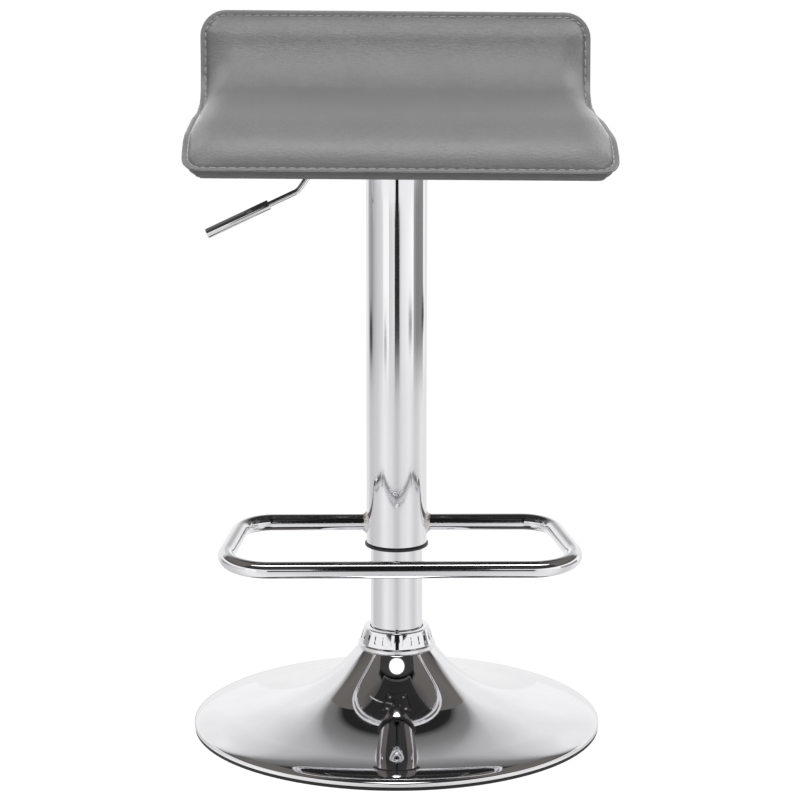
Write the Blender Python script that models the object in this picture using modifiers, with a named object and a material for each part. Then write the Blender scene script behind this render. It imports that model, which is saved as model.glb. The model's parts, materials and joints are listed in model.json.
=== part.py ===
"""A gas-lift swivel bar stool with a wave-shaped padded seat.

Metres, +Z up. The floor is z = 0, the column stands on the Z axis and the sitter faces -Y.
The seat is stored at its lowest height.
"""
import math

import bmesh
import bpy
from mathutils import Matrix, Vector

# Clearances
SEAT_GAP = 0.0003       # between pieces that rest on or fit in one another
TURN_GAP = 0.0005       # round pieces that turn or slide in one another

# Facets of turned pieces
LARGE_STEPS = 56
MEDIUM_STEPS = 32
SMALL_STEPS = 16

# Base
BASE_RADIUS = 0.1925
RIM_HEIGHT = 0.0013     # upright edge of the shell
ROLL_WIDTH = 0.0368     # rounding from the shell's top down to its edge
ROLL_DROP = 0.0072
ROLL_POINTS = 6
SHELL_WALL = 0.0015
NECK_RADIUS = 0.0365    # where the flare meets the trim collar
NECK_HEIGHT = 0.0785
NECK_LIP = 0.0030       # rise of the shell from the neck to its hole
FLARE_REACH = 0.0423    # the flare eases off outwards over this distance
FLARE_FALL = 0.07       # slope that is left when it has
FLARE_POINTS = 11
RING_HEIGHT = 0.0030    # rubber floor ring
RING_WIDTH = 0.0120
RING_INSET = 0.0005
BALLAST_LIFT = 0.0023   # ballast plate clear of the floor
BALLAST_THICK = 0.0025
BALLAST_BORE = 0.0130

# Trim collar
COLLAR_HEIGHT = 0.0195
COLLAR_TOP_RADIUS = 0.0306
COLLAR_FOOT_RADIUS = 0.0366
COLLAR_WALL = 0.0018
COLLAR_LIP = 0.0035     # plain band at the foot
SLOT_COUNT = 24
SLOT_WIDTH = 0.0022
SLOT_DEPTH = 0.0009
SLOT_HEIGHT = 0.0080

# Inner column and what stands in it
COLUMN_RADIUS = 0.0245
COLUMN_WALL = 0.0018
COLUMN_BOTTOM = 0.0125
COLUMN_TOP = 0.4700
COLUMN_FLOOR = 0.0050
SOCKET_WALL = 0.0052
BUSH_LENGTH = 0.0600
BUSH_FLANGE = 0.0020

# Swivel bearing and piston rod
RACE_THICK = 0.0022
RACE_RADIUS = 0.0130
BALL_RADIUS = 0.0020
BALL_RING = 0.0092
BALL_COUNT = 6
CAGE_THICK = 0.0010
CAGE_BAND = 0.0014      # metal left beside the ball pockets
ROD_RADIUS = 0.0050
ROD_NECK_RADIUS = 0.0042
ROD_TAIL = 0.0012
WASHER_THICK = 0.0012
ROD_WASHER_RADIUS = 0.0110
CLIP_THICK = 0.0015
CLIP_RADIUS = 0.0085
BUMP_HEIGHT = 0.0180
BUMP_RADIUS = 0.0120

# Gas cylinder
LIFT_STROKE = 0.2100
CYLINDER_RADIUS = 0.0140
CYLINDER_WALL = 0.0018
CYLINDER_LENGTH = 0.4886
CYLINDER_CAP = 0.0300
TAPER_LENGTH = 0.0440
TAPER_DROP = 0.0007
GLAND_LENGTH = 0.0250
PISTON_LENGTH = 0.0150
PISTON_MARGIN = 0.0096  # left between gland and piston at full height
SEAL_WIDTH = 0.0040
SEAL_DEPTH = 0.0019
PISTON_NUT = 0.0045
PISTON_NUT_RADIUS = 0.0085
ROD_THREAD = 0.0020     # rod past the nut
VALVE_RADIUS = 0.0040
VALVE_DEPTH = 0.0240    # pin inside the cylinder's cap
LEVER_SWING = 7.0       # degrees

# Outer tube and footrest
TUBE_RADIUS = 0.0285
TUBE_WALL = 0.0015
TUBE_LENGTH = 0.3600
TUBE_RISE = 0.0065      # tube past the top of the cylinder
GLIDE_LIP = 0.0030
GLIDE_LIP_OUT = 0.0013
GLIDE_SLEEVE = 0.0340
PLUG_THICK = 0.0140
FOOT_RADIUS = 0.0078
FOOT_RISE = 0.0185      # footrest axis above the tube's lower end
FOOT_REAR_HALF = 0.1430
FOOT_FRONT_HALF = 0.1673
FOOT_REACH = 0.1300
FOOT_DROP = 0.0101      # front bar below the welded ends
FOOT_REAR_BEND = 0.0320
FOOT_FRONT_BEND = 0.0400
BEND_STEPS = 8
WELD_LENGTH = 0.0050
WELD_WIDTH = 0.0030

# Seat plate, hub and fasteners
HUB_GRIP = 0.0185       # cylinder inside the hub
HUB_WALL = 0.0040
PLATE_RISE = 0.0232     # plate above the cylinder's top
PLATE_THICK = 0.0025
PLATE_SIDE = 0.1500
PLATE_CORNER = 0.0140
BOLT_HALF_PITCH = 0.0520
BOLT_RADIUS = 0.0030
BOLT_HEAD_RADIUS = 0.0055
BOLT_HEAD = 0.0040
BOLT_WASHER_RADIUS = 0.0080
INSERT_WALL = 0.0013
INSERT_LENGTH = 0.0050
BLOCK_SIDE = 0.1500
BLOCK_THICK = 0.0158    # under the crest of the seat

# Release lever
LEVER_DROP = 0.0087     # lever axis below the plate
ROCKER_HEIGHT = 0.0080
ROCKER_WIDTH = 0.0090
ROCKER_NOSE = 0.0010
ROCKER_TIP = 0.0050     # rocker past the valve pin
ROCKER_TAIL = 0.0200    # rocker outside the pivot
ROCKER_SOCKET = 0.0145
PIVOT_REACH = 0.0300    # pivot to the left of the valve pin
PIVOT_RADIUS = 0.0020
PIVOT_HEAD = 0.0010     # pin past each cheek
BRACKET_LENGTH = 0.0120
BRACKET_CHEEK = 0.0025
BRACKET_WEB = 0.0020
LEVER_RADIUS = 0.0029
LEVER_RUN = 0.0360      # level run outside the pivot
LEVER_DROP_RUN = 0.0250
LEVER_DROP_FALL = 0.0345
LEVER_ARM_RUN = 0.0820
LEVER_ARM_FALL = 0.0385
LEVER_BEND = 0.0110
GRIP_RADIUS = 0.0049
GRIP_LENGTH = 0.0640
GRIP_CHAMFER = 0.0010
GRIP_BORE = 0.0400

# Seat
SEAT_WIDTH = 0.3784
SEAT_BACK_CORNER = 0.0255
SEAT_FRONT_CORNER = 0.0210
CORNER_STEPS = 5
CREST_Y = -0.1250       # highest line of the seat, near its front
BACK_STRAIGHT = 0.0633
BACK_LEAN = 4.0         # degrees
BEND_RADIUS = 0.0240    # tight part of the bend between back and seat
BEND_FALL = 22.0        # degrees, where the tight part ends
EASE_RADIUS = 0.0620    # rest of that bend
PAN_LEVEL = 0.0300      # level stretch, the seat's lowest
HOLLOW_RADIUS = 0.6000
PAN_RISE = 4.5          # degrees, up towards the front
PAN_REAR = 0.0500
SWELL_RADIUS = 1.0000
PAN_EASE = 1.9          # degrees, nearer the front
PAN_FRONT = 0.0980
CREST_RADIUS = 0.2000
CREST_FALL = 5.0        # degrees, where the front curl begins
FRONT_RADIUS = 0.1100
FRONT_CURL = 28.0       # degrees
FRONT_LIP = 0.0183
WELT_THICK = 0.0022
WELT_WIDTH = 0.0064
BOARD_THICK = 0.0055
COVER_WALL = 0.0012
COVER_INSET = 0.0045
CUSHION_CROWN = 0.0180
CUSHION_ROLL = 0.0280
CUSHION_EDGE = 0.0018
CUSHION_COLUMNS = (0.0, 0.0020, 0.0055, 0.0110, 0.0190, 0.0300)

# Colour, metallic value and roughness of each look
CHROME = ((0.86, 0.87, 0.88), 1.0, 0.06)
STEEL = ((0.52, 0.53, 0.55), 1.0, 0.38)
ZINC = ((0.62, 0.63, 0.62), 1.0, 0.30)
RUBBER = ((0.02, 0.02, 0.02), 0.0, 0.70)
PLASTIC = ((0.025, 0.025, 0.025), 0.0, 0.45)
LEATHER = ((0.20, 0.20, 0.20), 0.0, 0.50)
WOOD = ((0.55, 0.38, 0.22), 0.0, 0.60)
BRASS = ((0.72, 0.53, 0.24), 1.0, 0.32)


# Heights that follow from the sizes above, from the floor up
rim_bottom = RING_HEIGHT + SEAT_GAP
rim_top = rim_bottom + RIM_HEIGHT
ballast_top = BALLAST_LIFT + BALLAST_THICK
socket_bottom = ballast_top + SEAT_GAP
neck_top = NECK_HEIGHT + NECK_LIP
roll_start = BASE_RADIUS - ROLL_WIDTH
socket_bore = COLUMN_RADIUS + SEAT_GAP
socket_radius = socket_bore + SOCKET_WALL
neck_hole = socket_radius + SEAT_GAP
column_bore = COLUMN_RADIUS - COLUMN_WALL
floor_top = COLUMN_BOTTOM + COLUMN_FLOOR
washer_bottom = COLUMN_BOTTOM - SEAT_GAP - WASHER_THICK
clip_bottom = washer_bottom - SEAT_GAP - CLIP_THICK
rod_end = clip_bottom - ROD_TAIL
race_bottom = floor_top + SEAT_GAP
ball_height = race_bottom + RACE_THICK + SEAT_GAP + BALL_RADIUS
upper_race_bottom = ball_height + BALL_RADIUS + SEAT_GAP
rod_shoulder = upper_race_bottom + RACE_THICK + SEAT_GAP
cylinder_bottom = rod_shoulder + BUMP_HEIGHT + SEAT_GAP
cylinder_bore = CYLINDER_RADIUS - CYLINDER_WALL
cylinder_top = cylinder_bottom + CYLINDER_LENGTH
piston_bottom = cylinder_bottom + GLAND_LENGTH + LIFT_STROKE + PISTON_MARGIN
piston_top = piston_bottom + PISTON_LENGTH
rod_top = piston_top + SEAT_GAP + PISTON_NUT + ROD_THREAD
tube_top = cylinder_top + TUBE_RISE
tube_bottom = tube_top - TUBE_LENGTH
tube_bore = TUBE_RADIUS - TUBE_WALL
foot_height = tube_bottom + FOOT_RISE
hub_bottom = cylinder_top - HUB_GRIP
plug_top = hub_bottom - SEAT_GAP
plate_bottom = cylinder_top + PLATE_RISE
plate_top = plate_bottom + PLATE_THICK
block_bottom = plate_top + SEAT_GAP
lever_height = plate_bottom - LEVER_DROP
valve_top = lever_height - ROCKER_HEIGHT / 2 - ROCKER_NOSE - SEAT_GAP
board_top = -WELT_THICK / 2 - SEAT_GAP
board_bottom = board_top - BOARD_THICK
cover_bottom = board_bottom - SEAT_GAP - COVER_WALL
block_top = board_bottom - SEAT_GAP
crest_height = block_bottom + BLOCK_THICK - block_top
cushion_bottom = board_top + SEAT_GAP
cushion_inset = WELT_WIDTH + SEAT_GAP
cover_bore_inset = COVER_INSET + COVER_WALL
board_inset = cover_bore_inset + SEAT_GAP


# Scene and object helpers
for old in list(bpy.data.objects):
    bpy.data.objects.remove(old, do_unlink=True)

scene = bpy.context.scene
parts = bpy.data.collections.new("bar_stool")
cutters = bpy.data.collections.new("bar_stool_cutters")
scene.collection.children.link(parts)
scene.collection.children.link(cutters)


def axis_empty(name, location, parent=None):
    """An empty on the axis that a group of pieces moves about."""
    empty = bpy.data.objects.new(name, None)
    empty.empty_display_size = 0.05
    empty.location = Vector(location) - (parent.matrix_world.translation if parent else Vector())
    empty.parent = parent
    parts.objects.link(empty)
    bpy.context.view_layer.update()
    return empty


def material_for(name, look):
    colour, metallic, roughness = look
    material = bpy.data.materials.new(name)
    material.use_nodes = True
    shader = material.node_tree.nodes["Principled BSDF"]
    shader.inputs["Base Color"].default_value = (*colour, 1.0)
    shader.inputs["Metallic"].default_value = metallic
    shader.inputs["Roughness"].default_value = roughness
    material.diffuse_color = (*colour, 1.0)
    return material


def add_part(name, mesh, look, parent, location=(0, 0, 0), rotation=(0, 0, 0)):
    """Link a piece, placed in world space and carried by its axis empty."""
    piece = bpy.data.objects.new(name, mesh)
    piece.location = location
    piece.rotation_euler = rotation
    piece.parent = parent
    piece.matrix_parent_inverse = parent.matrix_world.inverted()
    if not mesh.materials:
        mesh.materials.append(material_for(name, look))
    else:
        piece.material_slots[0].link = "OBJECT"
        piece.material_slots[0].material = material_for(name, look)
    parts.objects.link(piece)
    return piece


def add_cutter(name, mesh, location=(0, 0, 0), rotation=(0, 0, 0)):
    cutter = bpy.data.objects.new(name, mesh)
    cutter.location = location
    cutter.rotation_euler = rotation
    cutter.hide_render = True
    cutter.display_type = "WIRE"
    cutters.objects.link(cutter)
    return cutter


def cut(piece, cutter):
    boolean = piece.modifiers.new("cut_" + cutter.name, "BOOLEAN")
    boolean.operation = "DIFFERENCE"
    boolean.solver = "EXACT"
    boolean.object = cutter


def mesh_of(name, bm, smooth=False):
    mesh = bpy.data.meshes.new(name)
    bm.normal_update()
    bm.to_mesh(mesh)
    bm.free()
    if smooth:
        mesh.shade_smooth()
        mesh.set_sharp_from_angle(angle=math.radians(35))
    return mesh


def cylinder_mesh(name, radius, length, segments, top_radius=None):
    """A closed cylinder or cone about Z, standing on its own origin."""
    bm = bmesh.new()
    bmesh.ops.create_cone(
        bm, cap_ends=True, segments=segments, radius1=radius,
        radius2=radius if top_radius is None else top_radius, depth=length,
        matrix=Matrix.Translation((0, 0, length / 2)))
    return mesh_of(name, bm, smooth=True)


def box_mesh(name, low, high, corner=0.0):
    """A box between two corners, with its upright edges rounded."""
    size = [b - a for a, b in zip(low, high)]
    centre = [(a + b) / 2 for a, b in zip(low, high)]
    bm = bmesh.new()
    bmesh.ops.create_cube(bm, size=1.0, matrix=Matrix.Translation(centre) @ Matrix.Diagonal((*size, 1.0)))
    if corner:
        upright = [e for e in bm.edges if abs((e.verts[0].co - e.verts[1].co).z) > size[2] / 2]
        bmesh.ops.bevel(bm, geom=upright, offset=corner, segments=4, profile=0.5, affect="EDGES")
    return mesh_of(name, bm)


def profile_mesh(name, points, ring):
    mesh = bpy.data.meshes.new(name)
    edges = [(i, i + 1) for i in range(len(points) - 1)]
    if ring:
        edges.append((len(points) - 1, 0))
    mesh.from_pydata([(r, 0.0, z) for r, z in points], edges, [])
    return mesh


def spin(piece, steps):
    screw = piece.modifiers.new("turn", "SCREW")
    screw.axis = "Z"
    screw.angle = math.tau
    screw.steps = steps
    screw.render_steps = steps
    screw.use_merge_vertices = True
    screw.merge_threshold = 0.00001
    screw.use_smooth_shade = False


def turned(name, points, look, parent, steps=MEDIUM_STEPS, ring=True, location=(0, 0, 0), rotation=(0, 0, 0)):
    """A piece turned about Z: the profile runs down the outside and, on a ring, up the bore."""
    piece = add_part(name, profile_mesh(name, points, ring), look, parent, location, rotation)
    spin(piece, steps)
    return piece


def ring_points(inner, outer, low, high):
    return [(outer, high), (outer, low), (inner, low), (inner, high)]


def rounded_path(corners, bends, steps):
    """Points along straight runs whose corners are rounded to the given radii."""
    path = [Vector(corners[0])]
    for before, corner, after, bend in zip(corners, corners[1:], corners[2:], bends):
        corner = Vector(corner)
        come = (Vector(before) - corner).normalized()
        leave = (Vector(after) - corner).normalized()
        half = come.angle(leave) / 2
        centre = corner + (come + leave).normalized() * bend / math.sin(half)
        start = corner + come * bend / math.tan(half) - centre
        end = corner + leave * bend / math.tan(half) - centre
        sweep = start.angle(end)
        for i in range(steps + 1):
            t = i / steps
            a = math.sin((1 - t) * sweep) / math.sin(sweep)
            b = math.sin(t * sweep) / math.sin(sweep)
            path.append(centre + start * a + end * b)
    path.append(Vector(corners[-1]))
    return path


def tube_mesh(name, path, radius, resolution):
    """A closed round bar along a path, made from a bevelled curve."""
    curve = bpy.data.curves.new(name, "CURVE")
    curve.dimensions = "3D"
    curve.bevel_depth = radius
    curve.bevel_resolution = resolution
    curve.use_fill_caps = True
    spline = curve.splines.new("POLY")
    spline.points.add(len(path) - 1)
    for point, place in zip(spline.points, path):
        point.co = (*place, 1.0)
    guide = bpy.data.objects.new(name + "_path", curve)
    scene.collection.objects.link(guide)
    bpy.context.view_layer.update()
    evaluated = guide.evaluated_get(bpy.context.evaluated_depsgraph_get())
    made = bpy.data.meshes.new_from_object(evaluated)
    bm = bmesh.new()
    bm.from_mesh(made)
    bmesh.ops.remove_doubles(bm, verts=bm.verts, dist=0.00001)
    bmesh.ops.recalc_face_normals(bm, faces=bm.faces)
    bpy.data.objects.remove(guide, do_unlink=True)
    bpy.data.meshes.remove(made)
    return mesh_of(name, bm, smooth=True)


# The seat's side profile: straight runs and bends from the top of the back to the front lip
def profile_runs():
    """(length, heading at the start, heading at the end), headings in degrees above forward."""
    back = BACK_LEAN - 90
    return [
        (BACK_STRAIGHT, back, back),
        (BEND_RADIUS * math.radians(-BEND_FALL - back), back, -BEND_FALL),
        (EASE_RADIUS * math.radians(BEND_FALL), -BEND_FALL, 0.0),
        (PAN_LEVEL, 0.0, 0.0),
        (HOLLOW_RADIUS * math.radians(PAN_RISE), 0.0, PAN_RISE),
        (PAN_REAR, PAN_RISE, PAN_RISE),
        (SWELL_RADIUS * math.radians(PAN_RISE - PAN_EASE), PAN_RISE, PAN_EASE),
        (PAN_FRONT, PAN_EASE, PAN_EASE),
        (CREST_RADIUS * math.radians(PAN_EASE + CREST_FALL), PAN_EASE, -CREST_FALL),
        (FRONT_RADIUS * math.radians(FRONT_CURL - CREST_FALL), -CREST_FALL, -FRONT_CURL),
        (FRONT_LIP, -FRONT_CURL, -FRONT_CURL),
    ]


RUNS = profile_runs()
RUN_STEPS = (3, 5, 4, 1, 2, 2, 2, 3, 2, 5, 1)
PROFILE_LENGTH = sum(length for length, _, _ in RUNS)
CREST_AT = sum(length for length, _, _ in RUNS[:8]) + CREST_RADIUS * math.radians(PAN_EASE)


def walk(distance):
    """Forward and up reached after a distance along the profile, with the heading there."""
    forward = up = 0.0
    heading = math.radians(RUNS[0][1])
    for length, first, last in RUNS:
        used = min(max(distance, 0.0), length)
        a = math.radians(first)
        b = math.radians(first + (last - first) * used / length)
        if first == last:
            forward += used * math.cos(a)
            up += used * math.sin(a)
        else:
            radius = length / math.radians(last - first)
            forward += radius * (math.sin(b) - math.sin(a))
            up += radius * (math.cos(a) - math.cos(b))
        heading = b
        distance -= length
        if distance <= 0:
            break
    return forward, up, heading


CREST_FORWARD, CREST_UP, _ = walk(CREST_AT)


def seat_point(x, distance, lift):
    """A point of the seat: across, along the profile, and off the profile towards the sitter."""
    forward, up, heading = walk(distance)
    y = CREST_Y - (forward - CREST_FORWARD) + lift * math.sin(heading)
    z = crest_height + (up - CREST_UP) + lift * math.cos(heading)
    return Vector((x, y, z))


def seat_rows(inset):
    """Distances along the profile, with the half width of the outline at each."""
    half = SEAT_WIDTH / 2 - inset
    back = max(SEAT_BACK_CORNER - inset, SEAT_GAP)
    front = max(SEAT_FRONT_CORNER - inset, SEAT_GAP)
    turns = [math.radians(90 * i / CORNER_STEPS) for i in range(CORNER_STEPS + 1)]
    rows = [(inset + back * (1 - math.cos(t)), half - back * (1 - math.sin(t))) for t in turns]
    reached = 0.0
    for (length, _, _), steps in zip(RUNS, RUN_STEPS):
        for i in range(1, steps + 1):
            place = reached + length * i / steps
            if SEAT_BACK_CORNER + 0.003 < place < PROFILE_LENGTH - SEAT_FRONT_CORNER - 0.003:
                rows.append((place, half))
        reached += length
    end = PROFILE_LENGTH - inset
    rows += [(end - front * (1 - math.cos(t)), half - front * (1 - math.sin(t))) for t in reversed(turns)]
    return rows


def seat_sheet(rows, columns, lift):
    """A grid bent to the seat's profile; columns(half) gives the places across a row."""
    bm = bmesh.new()
    across = len(columns(rows[0][1])) - 1
    bmesh.ops.create_grid(bm, x_segments=across, y_segments=len(rows) - 1, size=1.0)
    where = {}
    for vert in bm.verts:
        i = round((vert.co.x + 1) / 2 * across)
        j = round((1 - vert.co.y) / 2 * (len(rows) - 1))
        distance, half = rows[j]
        x = columns(half)[i]
        vert.co = seat_point(x, distance, lift)
        where[vert] = (x, distance, half)
    return bm, where


def thicken(bm, where, top):
    """Close a sheet into a solid whose upper side lies at top(x, distance, half)."""
    lower = {tuple(round(c, 7) for c in v.co): where[v] for v in bm.verts}
    made = bmesh.ops.extrude_face_region(bm, geom=bm.faces[:])
    for item in made["geom"]:
        if isinstance(item, bmesh.types.BMVert):
            x, distance, half = lower[tuple(round(c, 7) for c in item.co)]
            item.co = seat_point(x, distance, top(x, distance, half))
    bmesh.ops.recalc_face_normals(bm, faces=bm.faces)


def seat_slab(name, inset, low, high):
    """A slab that follows the seat, with its outline drawn in by inset."""
    bm, where = seat_sheet(seat_rows(inset), lambda half: (-half, half), low)
    thicken(bm, where, lambda x, distance, half: high)
    return mesh_of(name, bm)


def roll(distance):
    """Share of the crown reached at a distance from the edge of the cushion."""
    t = min(distance / CUSHION_ROLL, 1.0)
    return math.sqrt(1 - (1 - t) ** 2)


def cushion_top(x, distance, half):
    along = min(distance - cushion_inset, PROFILE_LENGTH - cushion_inset - distance)
    share = roll(max(half - abs(x), 0.0)) * roll(max(along, 0.0))
    return cushion_bottom + CUSHION_EDGE + CUSHION_CROWN * share


def cushion_columns(half):
    edge = [half - c for c in CUSHION_COLUMNS]
    inner = edge[-1] / 2
    return [-x for x in edge] + [-inner, 0.0, inner] + edge[::-1]


# Axes that the moving pieces hang on
floor_axis = axis_empty("stool_axis", (0, 0, 0))
swivel_axis = axis_empty("swivel_axis", (0, 0, ball_height), floor_axis)
lift_axis = axis_empty("lift_axis", (0, 0, cylinder_bottom), swivel_axis)
lever_axis = axis_empty("lever_axis", (-PIVOT_REACH, 0, lever_height), lift_axis)
valve_axis = axis_empty("valve_axis", (0, 0, valve_top), lift_axis)


# Base: rubber ring, pressed shell, ballast, socket and trim collar
def shell_height(radius):
    """Outer surface of the shell at a radius."""
    if radius < NECK_RADIUS:
        return NECK_HEIGHT + NECK_LIP * (NECK_RADIUS - radius) / (NECK_RADIUS - neck_hole)
    foot = rim_top + ROLL_DROP
    rise = NECK_HEIGHT - foot - FLARE_FALL * (BASE_RADIUS - NECK_RADIUS)
    flare = FLARE_FALL * (BASE_RADIUS - radius) + rise * math.exp((NECK_RADIUS - radius) / FLARE_REACH)
    rolled = max((radius - roll_start) / ROLL_WIDTH, 0.0)
    return foot + flare - ROLL_DROP * (1 - math.sqrt(max(1 - rolled * rolled, 0.0)))


def shell_radii():
    """Radii along the shell, closer together where it is steep."""
    flare = [NECK_RADIUS + (roll_start - NECK_RADIUS) * (i / FLARE_POINTS) ** 1.4 for i in range(FLARE_POINTS + 1)]
    turns = [math.pi / 2 * i / ROLL_POINTS for i in range(1, ROLL_POINTS)]
    return flare + [roll_start + ROLL_WIDTH * math.sin(turn) for turn in turns]


def shell_underside(radius):
    """The shell's wall under its outer surface at a radius."""
    slope = (shell_height(radius + 0.0001) - shell_height(radius)) / 0.0001
    length = math.hypot(slope, 1.0)
    return radius + SHELL_WALL * slope / length, shell_height(radius) - SHELL_WALL / length


ring_outer = BASE_RADIUS - RING_INSET
ring_inner = ring_outer - RING_WIDTH
turned("floor_ring", ring_points(ring_inner, ring_outer, 0.0, RING_HEIGHT), RUBBER, floor_axis, LARGE_STEPS)

rim_inside = BASE_RADIUS - SHELL_WALL
shell_outside = [(neck_hole, neck_top)] + [(r, shell_height(r)) for r in shell_radii()]
shell_outside += [(BASE_RADIUS, rim_top), (BASE_RADIUS, rim_bottom)]
shell_inside = [(rim_inside, rim_bottom), (rim_inside, rim_top)]
shell_inside += [shell_underside(r) for r in shell_radii()[:1:-2]]
shell_inside += [(neck_hole, neck_top - SHELL_WALL * 1.6)]
turned("base_shell", shell_outside + shell_inside, CHROME, floor_axis, LARGE_STEPS)

turned("ballast_plate", ring_points(BALLAST_BORE, ring_inner - SEAT_GAP, BALLAST_LIFT, ballast_top), STEEL,
       floor_axis, LARGE_STEPS)
turned("base_socket", ring_points(socket_bore, socket_radius, socket_bottom, neck_top + SEAT_GAP), STEEL, floor_axis)

collar_foot = NECK_HEIGHT + SEAT_GAP
collar_top = collar_foot + COLLAR_HEIGHT
collar_bore = COLUMN_RADIUS + TURN_GAP
collar_side = [(COLLAR_TOP_RADIUS - COLLAR_WALL * 0.7, collar_top), (COLLAR_TOP_RADIUS, collar_top - COLLAR_WALL * 0.7)]
collar_side += [(COLLAR_FOOT_RADIUS - COLLAR_WALL * 0.5, collar_foot + COLLAR_LIP)]
collar_side += [(COLLAR_FOOT_RADIUS, collar_foot + COLLAR_LIP * 0.7), (COLLAR_FOOT_RADIUS, collar_foot)]
collar_hollow = [(COLLAR_FOOT_RADIUS - COLLAR_WALL, shell_height(COLLAR_FOOT_RADIUS - COLLAR_WALL) + SEAT_GAP)]
collar_hollow += [(COLLAR_FOOT_RADIUS - COLLAR_WALL * 2, collar_foot + COLLAR_LIP)]
collar_hollow += [(COLLAR_TOP_RADIUS - COLLAR_WALL * 1.4, collar_top - COLLAR_WALL * 1.7)]
collar_hollow += [(collar_bore, collar_top - COLLAR_WALL * 1.7), (collar_bore, collar_top)]
collar = turned("trim_collar", collar_side + collar_hollow, CHROME, floor_axis, SLOT_COUNT * 2)

slot_top_radius, slot_top = collar_side[1]
slot_foot_radius, slot_foot = collar_side[2]
slot_lean = math.atan2(slot_foot_radius - slot_top_radius, slot_top - slot_foot)
slot_centre = Vector(((slot_top_radius + slot_foot_radius) / 2, 0, (slot_top + slot_foot) / 2))
slot_bm = bmesh.new()
for i in range(SLOT_COUNT):
    turn = Matrix.Rotation(math.tau * i / SLOT_COUNT, 4, "Z")
    place = turn @ Matrix.Translation(slot_centre) @ Matrix.Rotation(-slot_lean, 4, "Y")
    size = Matrix.Diagonal((SLOT_DEPTH * 2, SLOT_WIDTH, SLOT_HEIGHT, 1.0))
    bmesh.ops.create_cube(slot_bm, size=1.0, matrix=place @ size)
cut(collar, add_cutter("collar_slots", mesh_of("collar_slots", slot_bm)))

# Inner column with its floor, and the guide bush in its top
turned("inner_column", [
    (COLUMN_RADIUS, COLUMN_TOP), (COLUMN_RADIUS, COLUMN_BOTTOM),
    (ROD_NECK_RADIUS + TURN_GAP, COLUMN_BOTTOM), (ROD_NECK_RADIUS + TURN_GAP, floor_top),
    (column_bore, floor_top), (column_bore, COLUMN_TOP)], CHROME, floor_axis, MEDIUM_STEPS)
bush_top = COLUMN_TOP + SEAT_GAP + BUSH_FLANGE
turned("guide_bush", [
    (COLUMN_RADIUS, bush_top), (COLUMN_RADIUS, COLUMN_TOP + SEAT_GAP),
    (column_bore - SEAT_GAP, COLUMN_TOP + SEAT_GAP), (column_bore - SEAT_GAP, COLUMN_TOP - BUSH_LENGTH),
    (CYLINDER_RADIUS + TURN_GAP, COLUMN_TOP - BUSH_LENGTH), (CYLINDER_RADIUS + TURN_GAP, bush_top)],
    PLASTIC, floor_axis, MEDIUM_STEPS)

# Swivel bearing: the lower race, cage and balls stay with the base
race_bore = ROD_NECK_RADIUS + SEAT_GAP
turned("lower_race", ring_points(race_bore, RACE_RADIUS, race_bottom, race_bottom + RACE_THICK), STEEL, floor_axis, 24)
cage = turned("ball_cage", ring_points(
    BALL_RING - BALL_RADIUS - CAGE_BAND, BALL_RING + BALL_RADIUS + CAGE_BAND,
    ball_height - CAGE_THICK / 2, ball_height + CAGE_THICK / 2), BRASS, floor_axis, 24)
pocket_bm = bmesh.new()
ball_bm = bmesh.new()
bmesh.ops.create_icosphere(ball_bm, subdivisions=2, radius=BALL_RADIUS)
ball_mesh = mesh_of("bearing_ball", ball_bm, smooth=True)
for i in range(BALL_COUNT):
    angle = math.tau * i / BALL_COUNT
    centre = Vector((BALL_RING * math.cos(angle), BALL_RING * math.sin(angle), ball_height))
    add_part(f"bearing_ball_{i + 1}", ball_mesh, STEEL, floor_axis, centre)
    bmesh.ops.create_cone(
        pocket_bm, cap_ends=True, segments=12, radius1=BALL_RADIUS + SEAT_GAP, radius2=BALL_RADIUS + SEAT_GAP,
        depth=CAGE_THICK * 4, matrix=Matrix.Translation(centre))
cut(cage, add_cutter("cage_pockets", mesh_of("cage_pockets", pocket_bm)))

# Rod: turns with the seat, does not rise with it
turned("upper_race", ring_points(race_bore, RACE_RADIUS, upper_race_bottom, upper_race_bottom + RACE_THICK), STEEL,
       swivel_axis, 24)
turned("piston_rod", [
    (0, rod_top), (ROD_RADIUS, rod_top), (ROD_RADIUS, rod_shoulder), (ROD_NECK_RADIUS, rod_shoulder),
    (ROD_NECK_RADIUS, rod_end), (0, rod_end)], CHROME, swivel_axis, SMALL_STEPS, ring=False)
turned("rod_washer", ring_points(race_bore, ROD_WASHER_RADIUS, washer_bottom, washer_bottom + WASHER_THICK), ZINC,
       swivel_axis, SMALL_STEPS)
turned("rod_clip", ring_points(race_bore, CLIP_RADIUS, clip_bottom, clip_bottom + CLIP_THICK), STEEL, swivel_axis,
       SMALL_STEPS)
rod_fit = ROD_RADIUS + SEAT_GAP
turned("bump_stop", ring_points(rod_fit, BUMP_RADIUS, rod_shoulder, rod_shoulder + BUMP_HEIGHT), RUBBER, swivel_axis,
       SMALL_STEPS)
piston_radius = cylinder_bore - TURN_GAP
seal_low = (piston_bottom + piston_top - SEAL_WIDTH) / 2
seal_high = seal_low + SEAL_WIDTH
groove = piston_radius - SEAL_DEPTH
turned("piston", [
    (piston_radius, piston_top), (piston_radius, seal_high + SEAT_GAP), (groove, seal_high + SEAT_GAP),
    (groove, seal_low - SEAT_GAP), (piston_radius, seal_low - SEAT_GAP), (piston_radius, piston_bottom),
    (rod_fit, piston_bottom), (rod_fit, piston_top)], STEEL, swivel_axis, 24)
turned("piston_seal", ring_points(groove + SEAT_GAP, cylinder_bore - SEAT_GAP, seal_low, seal_high), RUBBER,
       swivel_axis, 24)
turned("piston_nut", ring_points(rod_fit, PISTON_NUT_RADIUS, piston_top + SEAT_GAP, piston_top + SEAT_GAP + PISTON_NUT),
       ZINC, swivel_axis, 6 * 2)


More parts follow.
